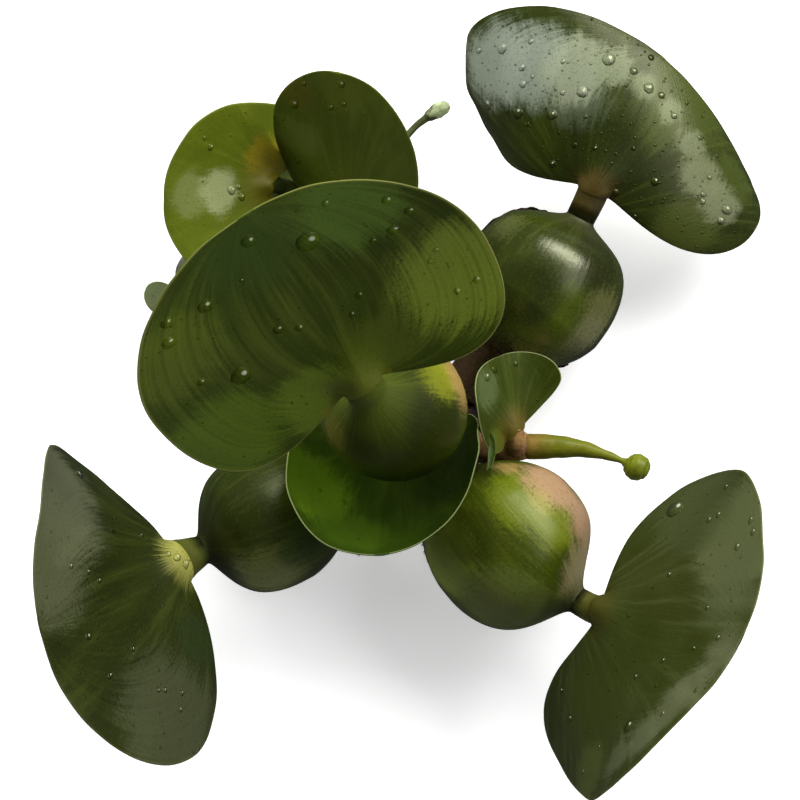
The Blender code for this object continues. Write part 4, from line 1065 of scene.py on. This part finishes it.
def addRootMat(name, mat):
    chance = random.Random(mat["seed"])
    threads = []
    for k in range(mat["count"]):
        line = matThread(mat, k, chance)
        thin = rootLook["thread"] * chance.uniform(0.6, 1.1)
        last = len(line) - 1
        threads.append((line, [thin * (1 - 0.6 * i / last) for i in range(last + 1)]))
        threads += hairsOn(line, chance, lambda t: rootLook["hairLength"] * (1 - 0.5 * t), 0.7)
    points, faces, skin = threadMesh(threads, 3)
    rows, around = 16, 64  # the matted core below the threads
    faces += ringFaces(rows, around, len(points))
    for i in range(rows):
        lean = math.radians(mix(-4, 88, i / (rows - 1)))
        for j, a in enumerate(circle(around)):
            knot = 0.86 + 0.1 * rough3(math.cos(a) * 6, math.sin(a) * 6, lean * 4 + mat["seed"])
            points.append(Vector((mat["centre"][0] + math.cos(a) * math.cos(lean) * mat["half"][0] * knot,
                                  mat["centre"][1] + math.sin(a) * math.cos(lean) * mat["half"][1] * knot,
                                  max(0.3, mat["height"] * 0.8 * math.sin(lean) * knot))))
            skin.append((j / around * 3, i / rows))
    return addPiece(name, points, faces, rootFinish(name), [mat["node"]], {"skin": skin})


def addRootStrand(node, strand, seed):
    heading, length, curl = strand
    chance = random.Random(seed)
    out = unit(heading, 0)
    side = Vector((-out.y, out.x, 0))
    mat = mats["rootMat"]
    start = 1.0 / math.sqrt((out.x / mat["half"][0]) ** 2 + (out.y / mat["half"][1]) ** 2)
    line, last = [], rootLook["strandPoints"] - 1
    for i in range(last + 1):
        t = mix(-0.25, 1, i / last)
        sway = curl * math.sin(t * math.pi * 1.15) * t + 0.3 * rough3(t * 6, seed, 0)
        rise = Vector((0, 0, 1.1 + 0.5 * max(0.0, -t) * 6))
        line.append(out * (start * 1.06 + length * t) + side * sway + rise)
    threads = [(line, [rootLook["strand"] * (1 - 0.7 * i / last) for i in range(last + 1)])]
    for longest in rootLook["strandHairs"]:
        threads += hairsOn(line, chance, lambda t: longest * (0.75 + 0.6 * t - 1.2 * t * t), 0.55)
    threads += hairsOn(line, chance, lambda t: 1.0, 0.6)
    points, faces, skin = threadMesh(threads, 4)
    name = node.replace("root_", "rootStrand")
    return addPiece(name, points, faces, rootFinish(name), [node], {"skin": skin})


for i, (key, leaf) in enumerate(leaves.items()):
    addFloat(key + "Float", leaf, i + 1)
    addBlade(key + "Blade", leaf, i + 1)
for i, (key, leaf) in enumerate(stalked.items()):
    addStalk(key + "Stalk", leaf, leaf["stalkLook"], i + 20)
    addBlade(key + "Blade", leaf, i + 20)
print("leaves are made")
for i, (key, part) in enumerate(routes.items()):
    line, widths = smoothRoute(part["route"])
    addTube(key, line, widths, part["look"], [part["node"]], i + 30)
addCrown("mainCrown", crowns["main"], "crown", 41)
addCrown("daughterCrown", crowns["daughter"], "daughter_crown", 42)
for i, (key, sheath) in enumerate(oldSheaths.items()):
    addOldSheath(key, sheath, i + 50)
addYoungSheath()
print("stalks, crowns and sheaths are made")
for key, mat in mats.items():
    addRootMat(key, mat)
for i, (node, strand) in enumerate(strands.items()):
    addRootStrand(node, strand, i + 60)
print("roots are made")


# Camera, floor and light

def lookAt(thing, target):
    thing.rotation_euler = (Vector(target) - thing.location).to_track_quat("-Z", "Y").to_euler()


view = dict(target=(-11, 4, 20), distance=400, elevation=80, lens=72)
camera = bpy.data.objects.new("camera", bpy.data.cameras.new("camera"))
camera.data.lens, camera.data.sensor_width = view["lens"], 36.0
camera.data.clip_start, camera.data.clip_end = 0.01, 30
camera.location = (Vector(view["target"]) + unit(-90, view["elevation"]) * view["distance"]) * mm
camera.rotation_euler = (math.radians(90 - view["elevation"]), 0, 0)
bpy.context.scene.collection.objects.link(camera)
bpy.context.scene.camera = camera

floorMesh = bpy.data.meshes.new("floor")
far = 4.0
floorMesh.from_pydata([(-far, -far, 0), (far, -far, 0), (far, far, 0), (-far, far, 0)], [], [(0, 1, 2, 3)])
floor = bpy.data.objects.new("floor", floorMesh)
# The floor glows a little, though it is no lamp: this lifts the shadows on it and lights the plant from
# below.
floorGlow = dict(Emission_Color=tone(1000, 1000, 1000), Emission_Strength=0.45)
floorFinish = Finish("paleTop", Roughness=0.9, Specular_IOR_Level=0.1, **floorGlow)
tint = floorFinish.cloud(floorFinish.place(), 0.02)
tint = floorFinish.blend(tint * 0.2, (900, 900, 890), (860, 860, 860))
floorMesh.materials.append(floorFinish.show(tint))
bpy.context.scene.collection.objects.link(floor)
floor.visible_glossy = False

# Each soft light: its heading and height as seen from the plant, width and height in metres, and watts.
windows = {
    "brightWindow": (52, 44, 1.5, 0.62, 25),
    "backWindow": (112, 34, 1.3, 1, 17),
    "sideWindow": (-4, 50, 0.9, 0.7, 3),
    "farWindow": (160, 34, 0.8, 0.8, 6),
}
lampAway = 1.4
for key, (heading, height, width, tall, power) in windows.items():
    light = bpy.data.lights.new(key, "AREA")
    light.shape, light.size, light.size_y, light.energy = "ELLIPSE", width, tall, power
    lamp = bpy.data.objects.new(key, light)
    lamp.location = unit(heading, height) * lampAway
    lookAt(lamp, (0, 0, 0.03))
    lamp.visible_glossy = key not in ("backWindow", "farWindow")
    bpy.context.scene.collection.objects.link(lamp)

world = bpy.data.worlds.new("softRoom")
world.use_nodes = True
room = world.node_tree.nodes["Background"]
room.inputs["Color"].default_value = tone(900, 950, 1000)
room.inputs["Strength"].default_value = 0.06
bpy.context.scene.world = world
bpy.context.scene.view_settings.view_transform = "Standard"
print("camera, floor and light are set")
